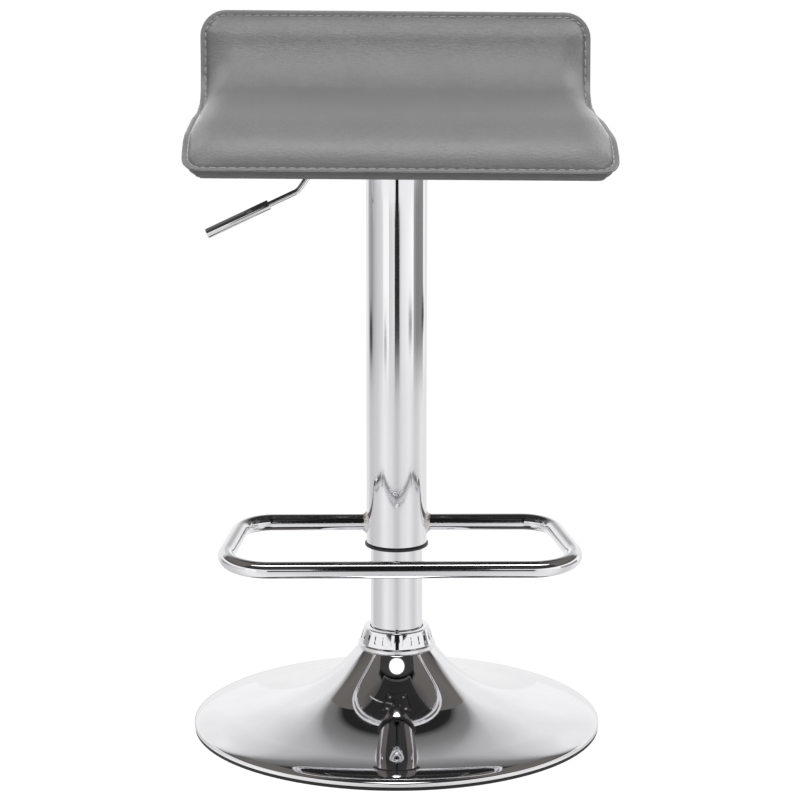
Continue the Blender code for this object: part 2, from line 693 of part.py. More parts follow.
# Gas cylinder, which rises with the seat
def taper_radius(height):
    """Outer radius of the cylinder, which tapers towards its top."""
    share = (height - (cylinder_top - TAPER_LENGTH)) / TAPER_LENGTH
    return CYLINDER_RADIUS - TAPER_DROP * min(max(share, 0.0), 1.0)


valve_hole = VALVE_RADIUS + TURN_GAP
turned("gas_cylinder", [
    (CYLINDER_RADIUS - TAPER_DROP, cylinder_top), (CYLINDER_RADIUS, cylinder_top - TAPER_LENGTH),
    (CYLINDER_RADIUS, cylinder_bottom), (cylinder_bore, cylinder_bottom),
    (cylinder_bore, cylinder_top - CYLINDER_CAP), (valve_hole, cylinder_top - CYLINDER_CAP),
    (valve_hole, cylinder_top)], STEEL, lift_axis, MEDIUM_STEPS)
turned("rod_gland", ring_points(ROD_RADIUS + TURN_GAP, cylinder_bore - SEAT_GAP, cylinder_bottom,
                                cylinder_bottom + GLAND_LENGTH), PLASTIC, lift_axis, 24)
valve_bottom = cylinder_top - VALVE_DEPTH
add_part("valve_pin", cylinder_mesh("valve_pin", VALVE_RADIUS, valve_top - valve_bottom, SMALL_STEPS), ZINC, valve_axis,
         (0, 0, valve_bottom))

# Outer tube with its glide ring, plug and hub
turned("outer_tube", ring_points(tube_bore, TUBE_RADIUS, tube_bottom, tube_top), CHROME, lift_axis, 40)
glide_bore = COLUMN_RADIUS + TURN_GAP
glide_top = tube_bottom + GLIDE_SLEEVE
glide_seat = tube_bottom - SEAT_GAP
turned("glide_ring", [
    (tube_bore - SEAT_GAP, glide_top), (tube_bore - SEAT_GAP, glide_seat), (TUBE_RADIUS + GLIDE_LIP_OUT, glide_seat),
    (TUBE_RADIUS + GLIDE_LIP_OUT, glide_seat - GLIDE_LIP), (glide_bore, glide_seat - GLIDE_LIP),
    (glide_bore, glide_top)], PLASTIC, lift_axis, 40)
plug_bottom = plug_top - PLUG_THICK
turned("tube_plug", [
    (tube_bore - SEAT_GAP, plug_top), (tube_bore - SEAT_GAP, plug_bottom),
    (taper_radius(plug_bottom) + SEAT_GAP, plug_bottom), (taper_radius(plug_top) + SEAT_GAP, plug_top)],
    STEEL, lift_axis, 40)
hub_top = plate_bottom - SEAT_GAP
hub_radius = taper_radius(hub_bottom) + SEAT_GAP + HUB_WALL
hub = turned("hub_cone", [
    (hub_radius, hub_top), (hub_radius, hub_bottom), (taper_radius(hub_bottom) + SEAT_GAP, hub_bottom),
    (taper_radius(cylinder_top) + SEAT_GAP, cylinder_top), (taper_radius(cylinder_top) + SEAT_GAP, hub_top)],
    STEEL, lift_axis, MEDIUM_STEPS)
valve_travel = PIVOT_REACH * math.radians(LEVER_SWING)
slot_half = ROCKER_WIDTH / 2 + TURN_GAP
cut(hub, add_cutter("hub_slot", box_mesh(
    "hub_slot", (-hub_radius * 1.5, -slot_half, lever_height - ROCKER_HEIGHT / 2 - valve_travel),
    (0, slot_half, hub_top + PLATE_THICK))))

# Footrest, bent from one tube and welded to both sides of the outer tube
foot_corners = [
    (tube_bore / 2, 0, foot_height), (FOOT_REAR_HALF, 0, foot_height),
    (FOOT_FRONT_HALF, -FOOT_REACH, foot_height - FOOT_DROP), (-FOOT_FRONT_HALF, -FOOT_REACH, foot_height - FOOT_DROP),
    (-FOOT_REAR_HALF, 0, foot_height), (-tube_bore / 2, 0, foot_height)]
foot_bends = [FOOT_REAR_BEND, FOOT_FRONT_BEND, FOOT_FRONT_BEND, FOOT_REAR_BEND]
foot_path = rounded_path(foot_corners, foot_bends, BEND_STEPS)
footrest = add_part("footrest_loop", tube_mesh("footrest_loop", foot_path, FOOT_RADIUS, 4), CHROME, lift_axis)
tube_space = add_cutter("tube_space", cylinder_mesh("tube_space", TUBE_RADIUS + SEAT_GAP, FOOT_RADIUS * 8, 80),
                        (0, 0, foot_height - FOOT_RADIUS * 4))
cut(footrest, tube_space)
weld_bore = FOOT_RADIUS + SEAT_GAP
weld_far = TUBE_RADIUS + WELD_LENGTH
weld_near = tube_bore
for side, lean in (("left", -90), ("right", 90)):
    weld = turned("footrest_weld_" + side, [
        (weld_bore + WELD_WIDTH * 0.3, weld_far), (weld_bore + WELD_WIDTH * 0.8, weld_far - WELD_LENGTH * 0.3),
        (weld_bore + WELD_WIDTH, weld_far - WELD_LENGTH * 0.7), (weld_bore + WELD_WIDTH * 1.1, weld_near),
        (weld_bore, weld_near), (weld_bore, weld_far)], STEEL, lift_axis, SMALL_STEPS,
        location=(0, 0, foot_height), rotation=(0, math.radians(lean), 0))
    cut(weld, tube_space)

# Seat plate, its bolts and the packing block
plate = add_part("seat_plate", box_mesh(
    "seat_plate", (-PLATE_SIDE / 2, -PLATE_SIDE / 2, plate_bottom), (PLATE_SIDE / 2, PLATE_SIDE / 2, plate_top),
    PLATE_CORNER), STEEL, lift_axis)
block = add_part("packing_block", box_mesh(
    "packing_block", (-BLOCK_SIDE / 2, -BLOCK_SIDE / 2, block_bottom),
    (BLOCK_SIDE / 2, BLOCK_SIDE / 2, crest_height)), WOOD, lift_axis)
cut(block, add_cutter("board_space", seat_slab("board_space", 0.0, block_top, block_top + BLOCK_SIDE / 4)))
bolt_fit = BOLT_RADIUS + SEAT_GAP
insert_radius = bolt_fit + INSERT_WALL
insert_bottom = block_bottom + SEAT_GAP
bolt_washer_top = plate_bottom - SEAT_GAP
bolt_head_top = bolt_washer_top - WASHER_THICK - SEAT_GAP
bolt_end = insert_bottom + INSERT_LENGTH - SEAT_GAP
insert_hole = cylinder_mesh("insert_hole", insert_radius + SEAT_GAP, INSERT_LENGTH + SEAT_GAP * 4, SMALL_STEPS)
bolt_hole = cylinder_mesh("bolt_hole", bolt_fit, PLATE_THICK * 3, SMALL_STEPS)
bolt_points = [(0, bolt_end), (BOLT_RADIUS, bolt_end), (BOLT_RADIUS, bolt_head_top), (BOLT_HEAD_RADIUS, bolt_head_top),
               (BOLT_HEAD_RADIUS, bolt_head_top - BOLT_HEAD), (0, bolt_head_top - BOLT_HEAD)]
corners = [(x, y) for y in (-BOLT_HALF_PITCH, BOLT_HALF_PITCH) for x in (-BOLT_HALF_PITCH, BOLT_HALF_PITCH)]
for i, (x, y) in enumerate(corners, 1):
    cut(plate, add_cutter(f"bolt_hole_{i}", bolt_hole, (x, y, plate_bottom - PLATE_THICK)))
    cut(block, add_cutter(f"insert_hole_{i}", insert_hole, (x, y, block_bottom - SEAT_GAP * 2)))
    turned(f"seat_bolt_{i}", bolt_points, ZINC, lift_axis, 12, ring=False, location=(x, y, 0))
    turned(f"bolt_washer_{i}", ring_points(bolt_fit, BOLT_WASHER_RADIUS, bolt_washer_top - WASHER_THICK, bolt_washer_top),
           ZINC, lift_axis, 12, location=(x, y, 0))
    turned(f"threaded_insert_{i}", ring_points(bolt_fit, insert_radius, insert_bottom, insert_bottom + INSERT_LENGTH),
           BRASS, lift_axis, 12, location=(x, y, 0))

# Bracket and pin that the lever tips on
bracket_inner = ROCKER_WIDTH / 2 + TURN_GAP
bracket_outer = bracket_inner + BRACKET_CHEEK
bracket_top = plate_bottom - SEAT_GAP
bracket_low = lever_height - ROCKER_HEIGHT / 2
bracket_left = -PIVOT_REACH - BRACKET_LENGTH / 2
bracket_right = -PIVOT_REACH + BRACKET_LENGTH / 2
bracket = add_part("lever_bracket", box_mesh(
    "lever_bracket", (bracket_left, -bracket_outer, bracket_low), (bracket_right, bracket_outer, bracket_top)),
    STEEL, lift_axis)
cut(bracket, add_cutter("bracket_channel", box_mesh(
    "bracket_channel", (bracket_left * 1.2, -bracket_inner, bracket_low - BRACKET_WEB),
    (bracket_right * 0.8, bracket_inner, bracket_top - BRACKET_WEB))))
pin_length = (bracket_outer + PIVOT_HEAD) * 2
across = (math.radians(90), 0, 0)
pin_place = (-PIVOT_REACH, pin_length / 2, lever_height)
add_part("pivot_pin", cylinder_mesh("pivot_pin", PIVOT_RADIUS, pin_length, SMALL_STEPS), ZINC, lift_axis, pin_place, across)
pin_space = add_cutter("pin_space", cylinder_mesh("pin_space", PIVOT_RADIUS + SEAT_GAP, pin_length * 1.5, SMALL_STEPS),
                       (-PIVOT_REACH, pin_length * 0.75, lever_height), across)
cut(bracket, pin_space)

# Lever: rocker on the pivot, bent rod and grip
rocker_left = -PIVOT_REACH - ROCKER_TAIL
rocker_low = lever_height - ROCKER_HEIGHT / 2
rocker_bm = bmesh.new()
bmesh.ops.create_cube(rocker_bm, size=1.0, matrix=Matrix.Translation(
    ((rocker_left + ROCKER_TIP) / 2, 0, lever_height)) @ Matrix.Diagonal(
    (ROCKER_TIP - rocker_left, ROCKER_WIDTH, ROCKER_HEIGHT, 1.0)))
bmesh.ops.subdivide_edges(
    rocker_bm, edges=[e for e in rocker_bm.edges if abs(e.verts[0].co.x - e.verts[1].co.x) > ROCKER_TAIL], cuts=7)
for vert in rocker_bm.verts:
    if abs(vert.co.x) < ROCKER_TIP * 0.9 and vert.co.z < lever_height:
        vert.co.x = 0.0
        vert.co.z -= ROCKER_NOSE
rocker = add_part("lever_rocker", mesh_of("lever_rocker", rocker_bm), ZINC, lever_axis)
pivot_hole = add_cutter("pivot_hole", cylinder_mesh("pivot_hole", PIVOT_RADIUS + TURN_GAP, pin_length * 1.5, SMALL_STEPS),
                        (-PIVOT_REACH, pin_length * 0.75, lever_height), across)
cut(rocker, pivot_hole)
along = (0, math.radians(90), 0)
cut(rocker, add_cutter("rod_socket", cylinder_mesh("rod_socket", LEVER_RADIUS + SEAT_GAP, ROCKER_SOCKET * 2, SMALL_STEPS),
                       (rocker_left - ROCKER_SOCKET, 0, lever_height), along))

lever_start = Vector((rocker_left + ROCKER_SOCKET - SEAT_GAP, 0, lever_height))
lever_bend = Vector((-PIVOT_REACH - LEVER_RUN, 0, lever_height))
lever_elbow = lever_bend + Vector((-LEVER_DROP_RUN, 0, -LEVER_DROP_FALL))
lever_tip = lever_elbow + Vector((-LEVER_ARM_RUN, 0, -LEVER_ARM_FALL))
arm = (lever_tip - lever_elbow).normalized()
grip_start = lever_tip - arm * GRIP_LENGTH
rod_stop = grip_start + arm * (GRIP_BORE - SEAT_GAP)
lever_path = rounded_path([lever_start, lever_bend, lever_elbow, rod_stop], [LEVER_BEND, LEVER_BEND], BEND_STEPS)
add_part("lever_rod", tube_mesh("lever_rod", lever_path, LEVER_RADIUS, 3), CHROME, lever_axis)
grip_fit = LEVER_RADIUS + SEAT_GAP
turned("lever_grip", [
    (0, GRIP_LENGTH), (GRIP_RADIUS - GRIP_CHAMFER, GRIP_LENGTH), (GRIP_RADIUS, GRIP_LENGTH - GRIP_CHAMFER),
    (GRIP_RADIUS, GRIP_CHAMFER / 2), (GRIP_RADIUS - GRIP_CHAMFER / 2, 0), (grip_fit, 0), (grip_fit, GRIP_BORE),
    (0, GRIP_BORE)], CHROME, lever_axis, SMALL_STEPS, ring=False, location=grip_start,
    rotation=arm.to_track_quat("Z", "Y").to_euler())

# Seat: bent board, cushion, stitched welt and the cover underneath
add_part("seat_board", seat_slab("seat_board", board_inset, board_bottom, board_top), WOOD, lift_axis)

welt = add_part("seat_welt", seat_slab("seat_welt", 0.0, -WELT_THICK / 2, WELT_THICK / 2), LEATHER, lift_axis)
cut(welt, add_cutter("cushion_space", seat_slab("cushion_space", WELT_WIDTH, -WELT_THICK * 2, WELT_THICK * 2)))

cover = add_part("seat_under_cover", seat_slab("seat_under_cover", COVER_INSET, cover_bottom, board_top), LEATHER, lift_axis)
cut(cover, add_cutter("board_room", seat_slab("board_room", cover_bore_inset, board_bottom - SEAT_GAP, WELT_WIDTH)))
block_room = BLOCK_SIDE / 2 + SEAT_GAP
cut(cover, add_cutter("block_room", box_mesh(
    "block_room", (-block_room, -block_room, block_bottom), (block_room, block_room, crest_height))))

cushion_bm, cushion_where = seat_sheet(seat_rows(cushion_inset), cushion_columns, cushion_bottom)
thicken(cushion_bm, cushion_where, cushion_top)
add_part("seat_cushion", mesh_of("seat_cushion", cushion_bm, smooth=True), LEATHER, lift_axis)
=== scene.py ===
"""The bar stool as photographed: chromed pedestal, grey leatherette seat, plain pale studio."""
import json
import math

import bmesh
import bpy
from mathutils import Matrix, Vector, noise

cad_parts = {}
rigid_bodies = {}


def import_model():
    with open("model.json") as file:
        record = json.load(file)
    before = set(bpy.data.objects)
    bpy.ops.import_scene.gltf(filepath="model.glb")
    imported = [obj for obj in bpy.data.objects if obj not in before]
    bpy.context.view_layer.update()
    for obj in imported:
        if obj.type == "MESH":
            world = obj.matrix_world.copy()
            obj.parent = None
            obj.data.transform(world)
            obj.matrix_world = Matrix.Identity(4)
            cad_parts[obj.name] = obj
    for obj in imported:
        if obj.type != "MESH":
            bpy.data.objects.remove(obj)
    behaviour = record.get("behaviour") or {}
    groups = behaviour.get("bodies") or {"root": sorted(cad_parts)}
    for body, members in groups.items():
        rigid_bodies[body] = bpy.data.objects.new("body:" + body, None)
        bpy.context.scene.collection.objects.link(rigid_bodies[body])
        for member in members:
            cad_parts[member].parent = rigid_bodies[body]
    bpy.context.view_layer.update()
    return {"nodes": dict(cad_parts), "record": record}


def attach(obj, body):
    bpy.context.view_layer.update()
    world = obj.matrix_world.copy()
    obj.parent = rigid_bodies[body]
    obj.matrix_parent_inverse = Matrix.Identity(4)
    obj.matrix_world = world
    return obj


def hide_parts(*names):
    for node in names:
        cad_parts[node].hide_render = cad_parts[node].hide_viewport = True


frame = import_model()
scene = bpy.context.scene
scene.view_settings.view_transform = "Standard"

# Sizes shared with the solids, in metres
BASE_RADIUS = 0.1925
RIM_BOTTOM = 0.0033
RIM_TOP = 0.0046
ROLL_WIDTH = 0.0368
ROLL_DROP = 0.0072
NECK_RADIUS = 0.0365
NECK_HEIGHT = 0.0785
NECK_HOLE = 0.0303
FLARE_REACH = 0.0423
FLARE_FALL = 0.07
COLUMN_RADIUS = 0.0245
TUBE_RADIUS = 0.0285
TUBE_BOTTOM = 0.1805
TUBE_TOP = 0.5405
FOOT_HEIGHT = 0.1990
FOOT_RADIUS = 0.0078
LEVER_HEIGHT = 0.5485
SEAT_WIDTH = 0.3784
CORNER_BACK = 0.0255
CORNER_FRONT = 0.0210
CREST_Y = -0.1250
CREST_HEIGHT = 0.5830
# The photographed seat sits a little to the right of the tube and half a degree off level
SEAT_ASIDE = 0.0014
SEAT_TILT = math.radians(0.5)
# Between these heights the seat rises into its low back
BACK_RISES = (0.604, 0.628)


class Tree:
    """A material's nodes; most methods add one node and give its output."""

    def __init__(self, name):
        self.material = bpy.data.materials.new(name)
        self.material.use_nodes = True
        self.nodes = self.material.node_tree.nodes

    def put(self, socket, value):
        """Link an output to a socket, or set a plain value on it."""
        if isinstance(value, bpy.types.NodeSocket):
            self.material.node_tree.links.new(value, socket)
        else:
            socket.default_value = value

    def add(self, kind, sockets=None, **settings):
        """A node with its own settings, and with outputs or plain values for its sockets."""
        node = self.nodes.new("ShaderNode" + kind)
        for key, value in settings.items():
            setattr(node, key, value)
        for socket, value in (sockets or {}).items():
            self.put(node.inputs[socket], value)
        return node

    def shade(self, sockets):
        """Give the shader its values; the material is then whole."""
        for socket, value in sockets.items():
            self.put(self.nodes["Principled BSDF"].inputs[socket], value)
        return self.material

    def glow(self, colour, strength=1.0, cover=None):
        """Make the material a self-lit card instead, see-through where cover is 0."""
        self.nodes.remove(self.nodes["Principled BSDF"])
        light = self.add("Emission", {"Color": colour, "Strength": strength}).outputs["Emission"]
        if cover is not None:
            clear = self.add("BsdfTransparent").outputs["BSDF"]
            light = self.add("MixShader", {0: cover, 1: clear, 2: light}).outputs["Shader"]
        self.put(self.nodes["Material Output"].inputs["Surface"], light)
        return self.material

    def place(self, scale=(1.0, 1.0, 1.0)):
        """Object coordinates, stretched by scale along each axis."""
        coords = self.add("TexCoord").outputs["Object"]
        return self.add("Mapping", {"Vector": coords, "Scale": scale}).outputs["Vector"]

    def noise(self, vector, scale, detail=4.0, roughness=0.55):
        sockets = {"Vector": vector, "Scale": scale, "Detail": detail, "Roughness": roughness}
        return self.add("TexNoise", sockets).outputs["Fac"]

    def stops(self, value, stops, interpolation="LINEAR"):
        """A colour ramp through stops, each a (position, colour)."""
        node = self.add("ValToRGB", {"Fac": value})
        elements = node.color_ramp.elements
        for number, (position, colour) in enumerate(stops):
            element = elements[number] if number < 2 else elements.new(position)
            element.position = position
            element.color = (*colour, 1.0)
        node.color_ramp.interpolation = interpolation
        return node.outputs["Color"]

    def ramp(self, value, low, high, start=0.3, end=0.7):
        """Colours low to high as value goes from start to end."""
        return self.stops(value, ((start, low), (end, high)))

    def spread(self, value, low, high, start=0.3, end=0.7):
        """Numbers low to high as value goes from start to end."""
        sockets = {"Value": value, "From Min": start, "From Max": end, "To Min": low, "To Max": high}
        return self.add("MapRange", sockets).outputs["Result"]

    def bump(self, height, strength, distance, below=None):
        sockets = {"Height": height, "Strength": strength, "Distance": distance}
        if below is not None:
            sockets["Normal"] = below
        return self.add("Bump", sockets).outputs["Normal"]


def grey(value, warm=0.0):
    """A plain grey, or a warmer one."""
    return (value * (1 + warm), value, value * (1 - warm))


def chrome_material(name, wave, polish, drawn=False):
    """Plated steel: mirror bright, faint smears, slight waviness; drawn tube was buffed round and round."""
    tree = Tree(name)
    place = tree.place()
    smear = tree.noise(tree.place((1.0, 1.0, 0.35)), 22.0, 5.0, 0.6)
    darker = tuple(c * 0.955 for c in CHROME_TINT)
    rippled = tree.bump(tree.noise(place, 38.0, 2.0), 0.25, wave)
    sockets = {
        "Base Color": tree.ramp(smear, darker, CHROME_TINT, 0.35, 0.62),
        "Roughness": tree.spread(smear, polish + 0.04, polish, 0.3, 0.6),
        "Normal": tree.bump(tree.noise(place, 900.0, 2.0), 0.03, 0.00005, rippled),
        "Metallic": 1.0,
    }
    if drawn:
        around = tree.add("Tangent", direction_type="RADIAL", axis="Z").outputs["Tangent"]
        sockets.update({"Tangent": around, "Anisotropic": 0.95, "Anisotropic Rotation": 0.25})
    return tree.shade(sockets)


def metal_material(name, dark, light, roughness, grain=(400.0, 400.0, 20.0), depth=0.00005):
    """Bare or plated steel with drawn grain and blotches."""
    tree = Tree(name)
    lines = tree.noise(tree.place(grain), 4.0, 3.0)
    return tree.shade({
        "Base Color": tree.ramp(tree.noise(tree.place(), 60.0, 6.0, 0.65), dark, light),
        "Roughness": tree.spread(lines, *roughness),
        "Normal": tree.bump(lines, 0.4, depth),
        "Metallic": 1.0,
    })


def moulded_material(name, dark, light, roughness, scale=700.0, depth=0.00006):
    """Moulded rubber or plastic with a fine skin texture and a little dust."""
    tree = Tree(name)
    place = tree.place()
    dust = tree.noise(place, 45.0, 6.0, 0.7)
    return tree.shade({
        "Base Color": tree.ramp(dust, dark, light, 0.4, 0.75),
        "Roughness": tree.spread(dust, *roughness),
        "Normal": tree.bump(tree.noise(place, scale, 3.0), 0.3, depth),
    })


def leather_material(name, dark, light, crease_relief_and_shade):
    """Leatherette: pebbled grain, fine creases across the seat with painted shade and highlight, slight mottling."""
    tree = Tree(name)
    place = tree.place()
    cells = {"Vector": place, "Scale": 620.0, "Smoothness": 0.6}
    pebble = tree.add("TexVoronoi", cells, feature="SMOOTH_F1").outputs["Distance"]
    crease = tree.noise(tree.place((0.35, 1.0, 1.0)), 620.0, 3.0, 0.6)
    # Painted shade and highlight: the colour is darkened in the creases' hollows and lightened on their rises, most on
    # the low back
    height = tree.add("SeparateXYZ", {"Vector": place}).outputs["Z"]
    crease_shading = tree.add("Mix", {
        "Factor": tree.spread(height, crease_relief_and_shade * 0.3, crease_relief_and_shade, *BACK_RISES),
        "A": tree.ramp(tree.noise(place, 28.0, 6.0, 0.6), dark, light, 0.32, 0.68),
        "B": tree.ramp(crease, grey(0.80), grey(1.20), 0.35, 0.65),
    }, data_type="RGBA", blend_type="MULTIPLY")
    return tree.shade({
        "Base Color": crease_shading.outputs["Result"],
        "Roughness": tree.spread(pebble, 0.42, 0.32, 0.0, 0.7),
        "Normal": tree.bump(crease, crease_relief_and_shade, 0.0018, tree.bump(pebble, 0.35, 0.0006)),
        "Specular IOR Level": 0.45,
    })


def thread_material(name):
    """Twisted sewing thread."""
    tree = Tree(name)
    twist = tree.add("TexWave", {"Vector": tree.place(), "Scale": 900.0, "Distortion": 1.5}).outputs["Fac"]
    return tree.shade({
        "Base Color": tree.ramp(twist, (0.34, 0.34, 0.335), (0.52, 0.52, 0.51), 0.2, 0.8),
        "Normal": tree.bump(twist, 0.4, 0.0001),
        "Roughness": 0.75,
    })


def wood_material(name):
    """Plywood: pale and dark plies stacked in Z, with fine grain."""
    tree = Tree(name)
    bands = {"Vector": tree.place(), "Scale": 190.0, "Distortion": 0.6}
    plies = tree.add("TexWave", bands, bands_direction="Z").outputs["Fac"]
    fibre = tree.noise(tree.place((12.0, 160.0, 160.0)), 3.0, 5.0)
    mixed = tree.add("Math", {0: plies, 1: fibre}, operation="MULTIPLY").outputs["Value"]
    return tree.shade({
        "Base Color": tree.ramp(mixed, (0.26, 0.16, 0.085), (0.55, 0.38, 0.22), 0.1, 0.6),
        "Roughness": tree.spread(fibre, 0.55, 0.75),
        "Normal": tree.bump(fibre, 0.3, 0.0002),
    })


def felt_material(name):
    """Black bonded-fibre dust cloth."""
    tree = Tree(name)
    place = tree.place()
    fibres = tree.noise(place, 1500.0, 5.0, 0.7)
    dots = tree.add("TexVoronoi", {"Vector": place, "Scale": 500.0}).outputs["Distance"]
    return tree.shade({
        "Base Color": tree.ramp(fibres, (0.040, 0.040, 0.041), (0.070, 0.070, 0.071)),
        "Normal": tree.bump(dots, 0.5, 0.0002),
        "Roughness": tree.spread(fibres, 0.85, 0.95),
    })


CHROME_TINT = (0.868, 0.863, 0.884)
EVEN_GRAIN = (300.0, 300.0, 300.0)
CHROME = chrome_material("chrome_tube", 0.00012, 0.055, drawn=True)
CHROME_COLUMN = chrome_material("chrome_column", 0.00012, 0.03)
CHROME_BASE = chrome_material("chrome_base", 0.00006, 0.02)
CHROME_BENT = chrome_material("chrome_bent", 0.00006, 0.03)
WELD = metal_material("weld_steel", (0.66, 0.61, 0.58), (0.90, 0.88, 0.87), (0.30, 0.5), (600.0, 600.0, 600.0), 0.0002)
STEEL = metal_material("bare_steel", (0.30, 0.30, 0.31), (0.50, 0.51, 0.52), (0.32, 0.5))
ZINC = metal_material("zinc_plate", (0.50, 0.50, 0.47), (0.68, 0.69, 0.68), (0.22, 0.4), EVEN_GRAIN)
BRASS = metal_material("brass", (0.52, 0.36, 0.14), (0.74, 0.55, 0.26), (0.25, 0.42), EVEN_GRAIN)
BLACK_STEEL = moulded_material("black_paint", grey(0.012), grey(0.03), (0.35, 0.5), 500.0, 0.00008)
RUBBER = moulded_material("rubber", grey(0.010), (0.024, 0.024, 0.023), (0.5, 0.75))
PLASTIC = moulded_material("black_plastic", (0.010, 0.010, 0.011), (0.02, 0.02, 0.021), (0.3, 0.45))
LEATHER = leather_material("leatherette", (0.193, 0.195, 0.193), (0.206, 0.208, 0.206), 0.55)
LEATHER_WELT = leather_material("leatherette_welt", (0.180, 0.182, 0.180), (0.206, 0.208, 0.206), 0.15)
THREAD = thread_material("sewing_thread")
WOOD = wood_material("plywood")
FELT = felt_material("dust_cloth")


# Making pieces
SHARP_ANGLE = 32.0
BAR_CHAMFER = 0.0004


def finish_mesh(bm, sharp_angle=SHARP_ANGLE):
    """A mesh made of bm, smooth but for edges sharper than an angle."""
    bmesh.ops.recalc_face_normals(bm, faces=bm.faces)
    mesh = bpy.data.meshes.new("piece")
    bm.to_mesh(mesh)
    bm.free()
    mesh.shade_smooth()
    mesh.set_sharp_from_angle(angle=math.radians(sharp_angle))
    return mesh


def new_object(name, data):
    """An object in the scene."""
    made = bpy.data.objects.new(name, data)
    scene.collection.objects.link(made)
    return made


def add_piece(name, mesh, body, material, stands_for=()):
    """A visible piece that rides on a body and stands for the named solids."""
    piece = new_object(name, mesh)
    mesh.name = name
    mesh.materials.append(material)
    bpy.context.view_layer.update()
    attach(piece, body)
    if stands_for:
        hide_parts(*stands_for)
    return piece


def rounded_corners(corners, radii, steps, closed):
    """A path through corners, each rounded to its radius."""
    corners = [Vector(c) for c in corners]
    count = len(corners)
    path = []
    for i, corner in enumerate(corners):
        if radii[i] <= 0 or (not closed and i in (0, count - 1)):
            path.append(corner)
            continue
        come = (corners[i - 1] - corner).normalized()
        leave = (corners[(i + 1) % count] - corner).normalized()
        half = come.angle(leave) / 2
        centre = corner + (come + leave).normalized() * radii[i] / math.sin(half)
        start = corner + come * radii[i] / math.tan(half) - centre
        end = corner + leave * radii[i] / math.tan(half) - centre
        sweep = start.angle(end)
        for k in range(steps + 1):
            t = k / steps
            swung = start * math.sin((1 - t) * sweep) + end * math.sin(t * sweep)
            path.append(centre + swung / math.sin(sweep))
    return path


def loop_faces(bm, rings, close_rings, close_ends):
    """Quads between rings of vertices; ends may join up or be capped."""
    pairs = list(zip(rings, rings[1:]))
    if close_rings:
        pairs.append((rings[-1], rings[0]))
    for a, b in pairs:
        for i in range(len(a)):
            j = (i + 1) % len(a)
            bm.faces.new((a[i], a[j], b[j], b[i]))
    if close_ends:
        bm.faces.new(rings[0])
        bm.faces.new(rings[-1])


def turned_mesh(profile, steps):
    """A closed profile of (radius, height) turned about Z."""
    bm = bmesh.new()
    rings = []
    for k in range(steps):
        angle = math.tau * k / steps
        rings.append([bm.verts.new((r * math.cos(angle), r * math.sin(angle), z)) for r, z in profile])
    loop_faces(bm, rings, True, False)
    bmesh.ops.remove_doubles(bm, verts=bm.verts, dist=1e-7)
    return finish_mesh(bm)


def turned_profile(corners):
    """A closed profile through corners, each a (radius, height, rounding)."""
    path = rounded_corners([(r, 0.0, z) for r, z, _ in corners], [corner[2] for corner in corners], 5, True)
    return [(p.x, p.z) for p in path]


def ring_profile(inner, outer, low, high, edge):
    """A plain ring's profile, its four edges rounded."""
    return turned_profile([(inner, high, edge), (outer, high, edge), (outer, low, edge), (inner, low, edge)])


def bar_mesh(path, radius, across, sides):
    """A round bar along a flat path; across is the normal of the path's plane."""
    bm = bmesh.new()
    rings = []
    last = len(path) - 1
    for i, point in enumerate(path):
        along = (path[min(i + 1, last)] - path[max(i - 1, 0)]).normalized()
        side = across.cross(along).normalized()
        turns = [(1.0, 0.0)]
        if i == 0:
            turns = [(1 - BAR_CHAMFER / radius, 0.0), (1.0, BAR_CHAMFER)]
        elif i == last:
            turns = [(1.0, -BAR_CHAMFER), (1 - BAR_CHAMFER / radius, 0.0)]
        for share, shift in turns:
            ring = []
            for k in range(sides):
                angle = math.tau * k / sides
                offset = side * math.cos(angle) + across * math.sin(angle)
                ring.append(bm.verts.new(point + along * shift + offset * radius * share))
            rings.append(ring)
    loop_faces(bm, rings, False, True)
    return finish_mesh(bm)


# Camera, fitted to the photograph's frame
CAMERA_AZIMUTH = 0.012
CAMERA_DISTANCE = 3.0
CAMERA_HEIGHT = 1.0
CAMERA_PITCH = math.radians(12.83)
camera_data = bpy.data.cameras.new("camera")
camera = new_object("camera", camera_data)
camera.location = (-CAMERA_DISTANCE * math.sin(CAMERA_AZIMUTH), -CAMERA_DISTANCE * math.cos(CAMERA_AZIMUTH),
                   CAMERA_HEIGHT)
camera.rotation_euler = (math.pi / 2 - CAMERA_PITCH, 0.0, -CAMERA_AZIMUTH)
camera_data.sensor_width = 36.0
camera_data.lens = 148.23
camera_data.shift_x = 0.00425
camera_data.clip_end = 200.0
scene.camera = camera


# Base: flared shell, rubber ring, slotted trim collar
def shell_height(radius):
    """Outer surface of the shell at a radius."""
    foot = RIM_TOP + ROLL_DROP
    rise = NECK_HEIGHT - foot - FLARE_FALL * (BASE_RADIUS - NECK_RADIUS)
    flare = FLARE_FALL * (BASE_RADIUS - radius) + rise * math.exp((NECK_RADIUS - radius) / FLARE_REACH)
    rolled = max((radius - BASE_RADIUS + ROLL_WIDTH) / ROLL_WIDTH, 0.0)
    return foot + flare - ROLL_DROP * (1 - math.sqrt(max(1 - rolled * rolled, 0.0)))


def shell_underside(radius):
    """The shell's wall under its outer surface at a radius."""
    slope = (shell_height(radius + SLOPE_STEP) - shell_height(radius)) / SLOPE_STEP
    length = math.hypot(slope, 1.0)
    return radius + SHELL_WALL * slope / length, shell_height(radius) - SHELL_WALL / length


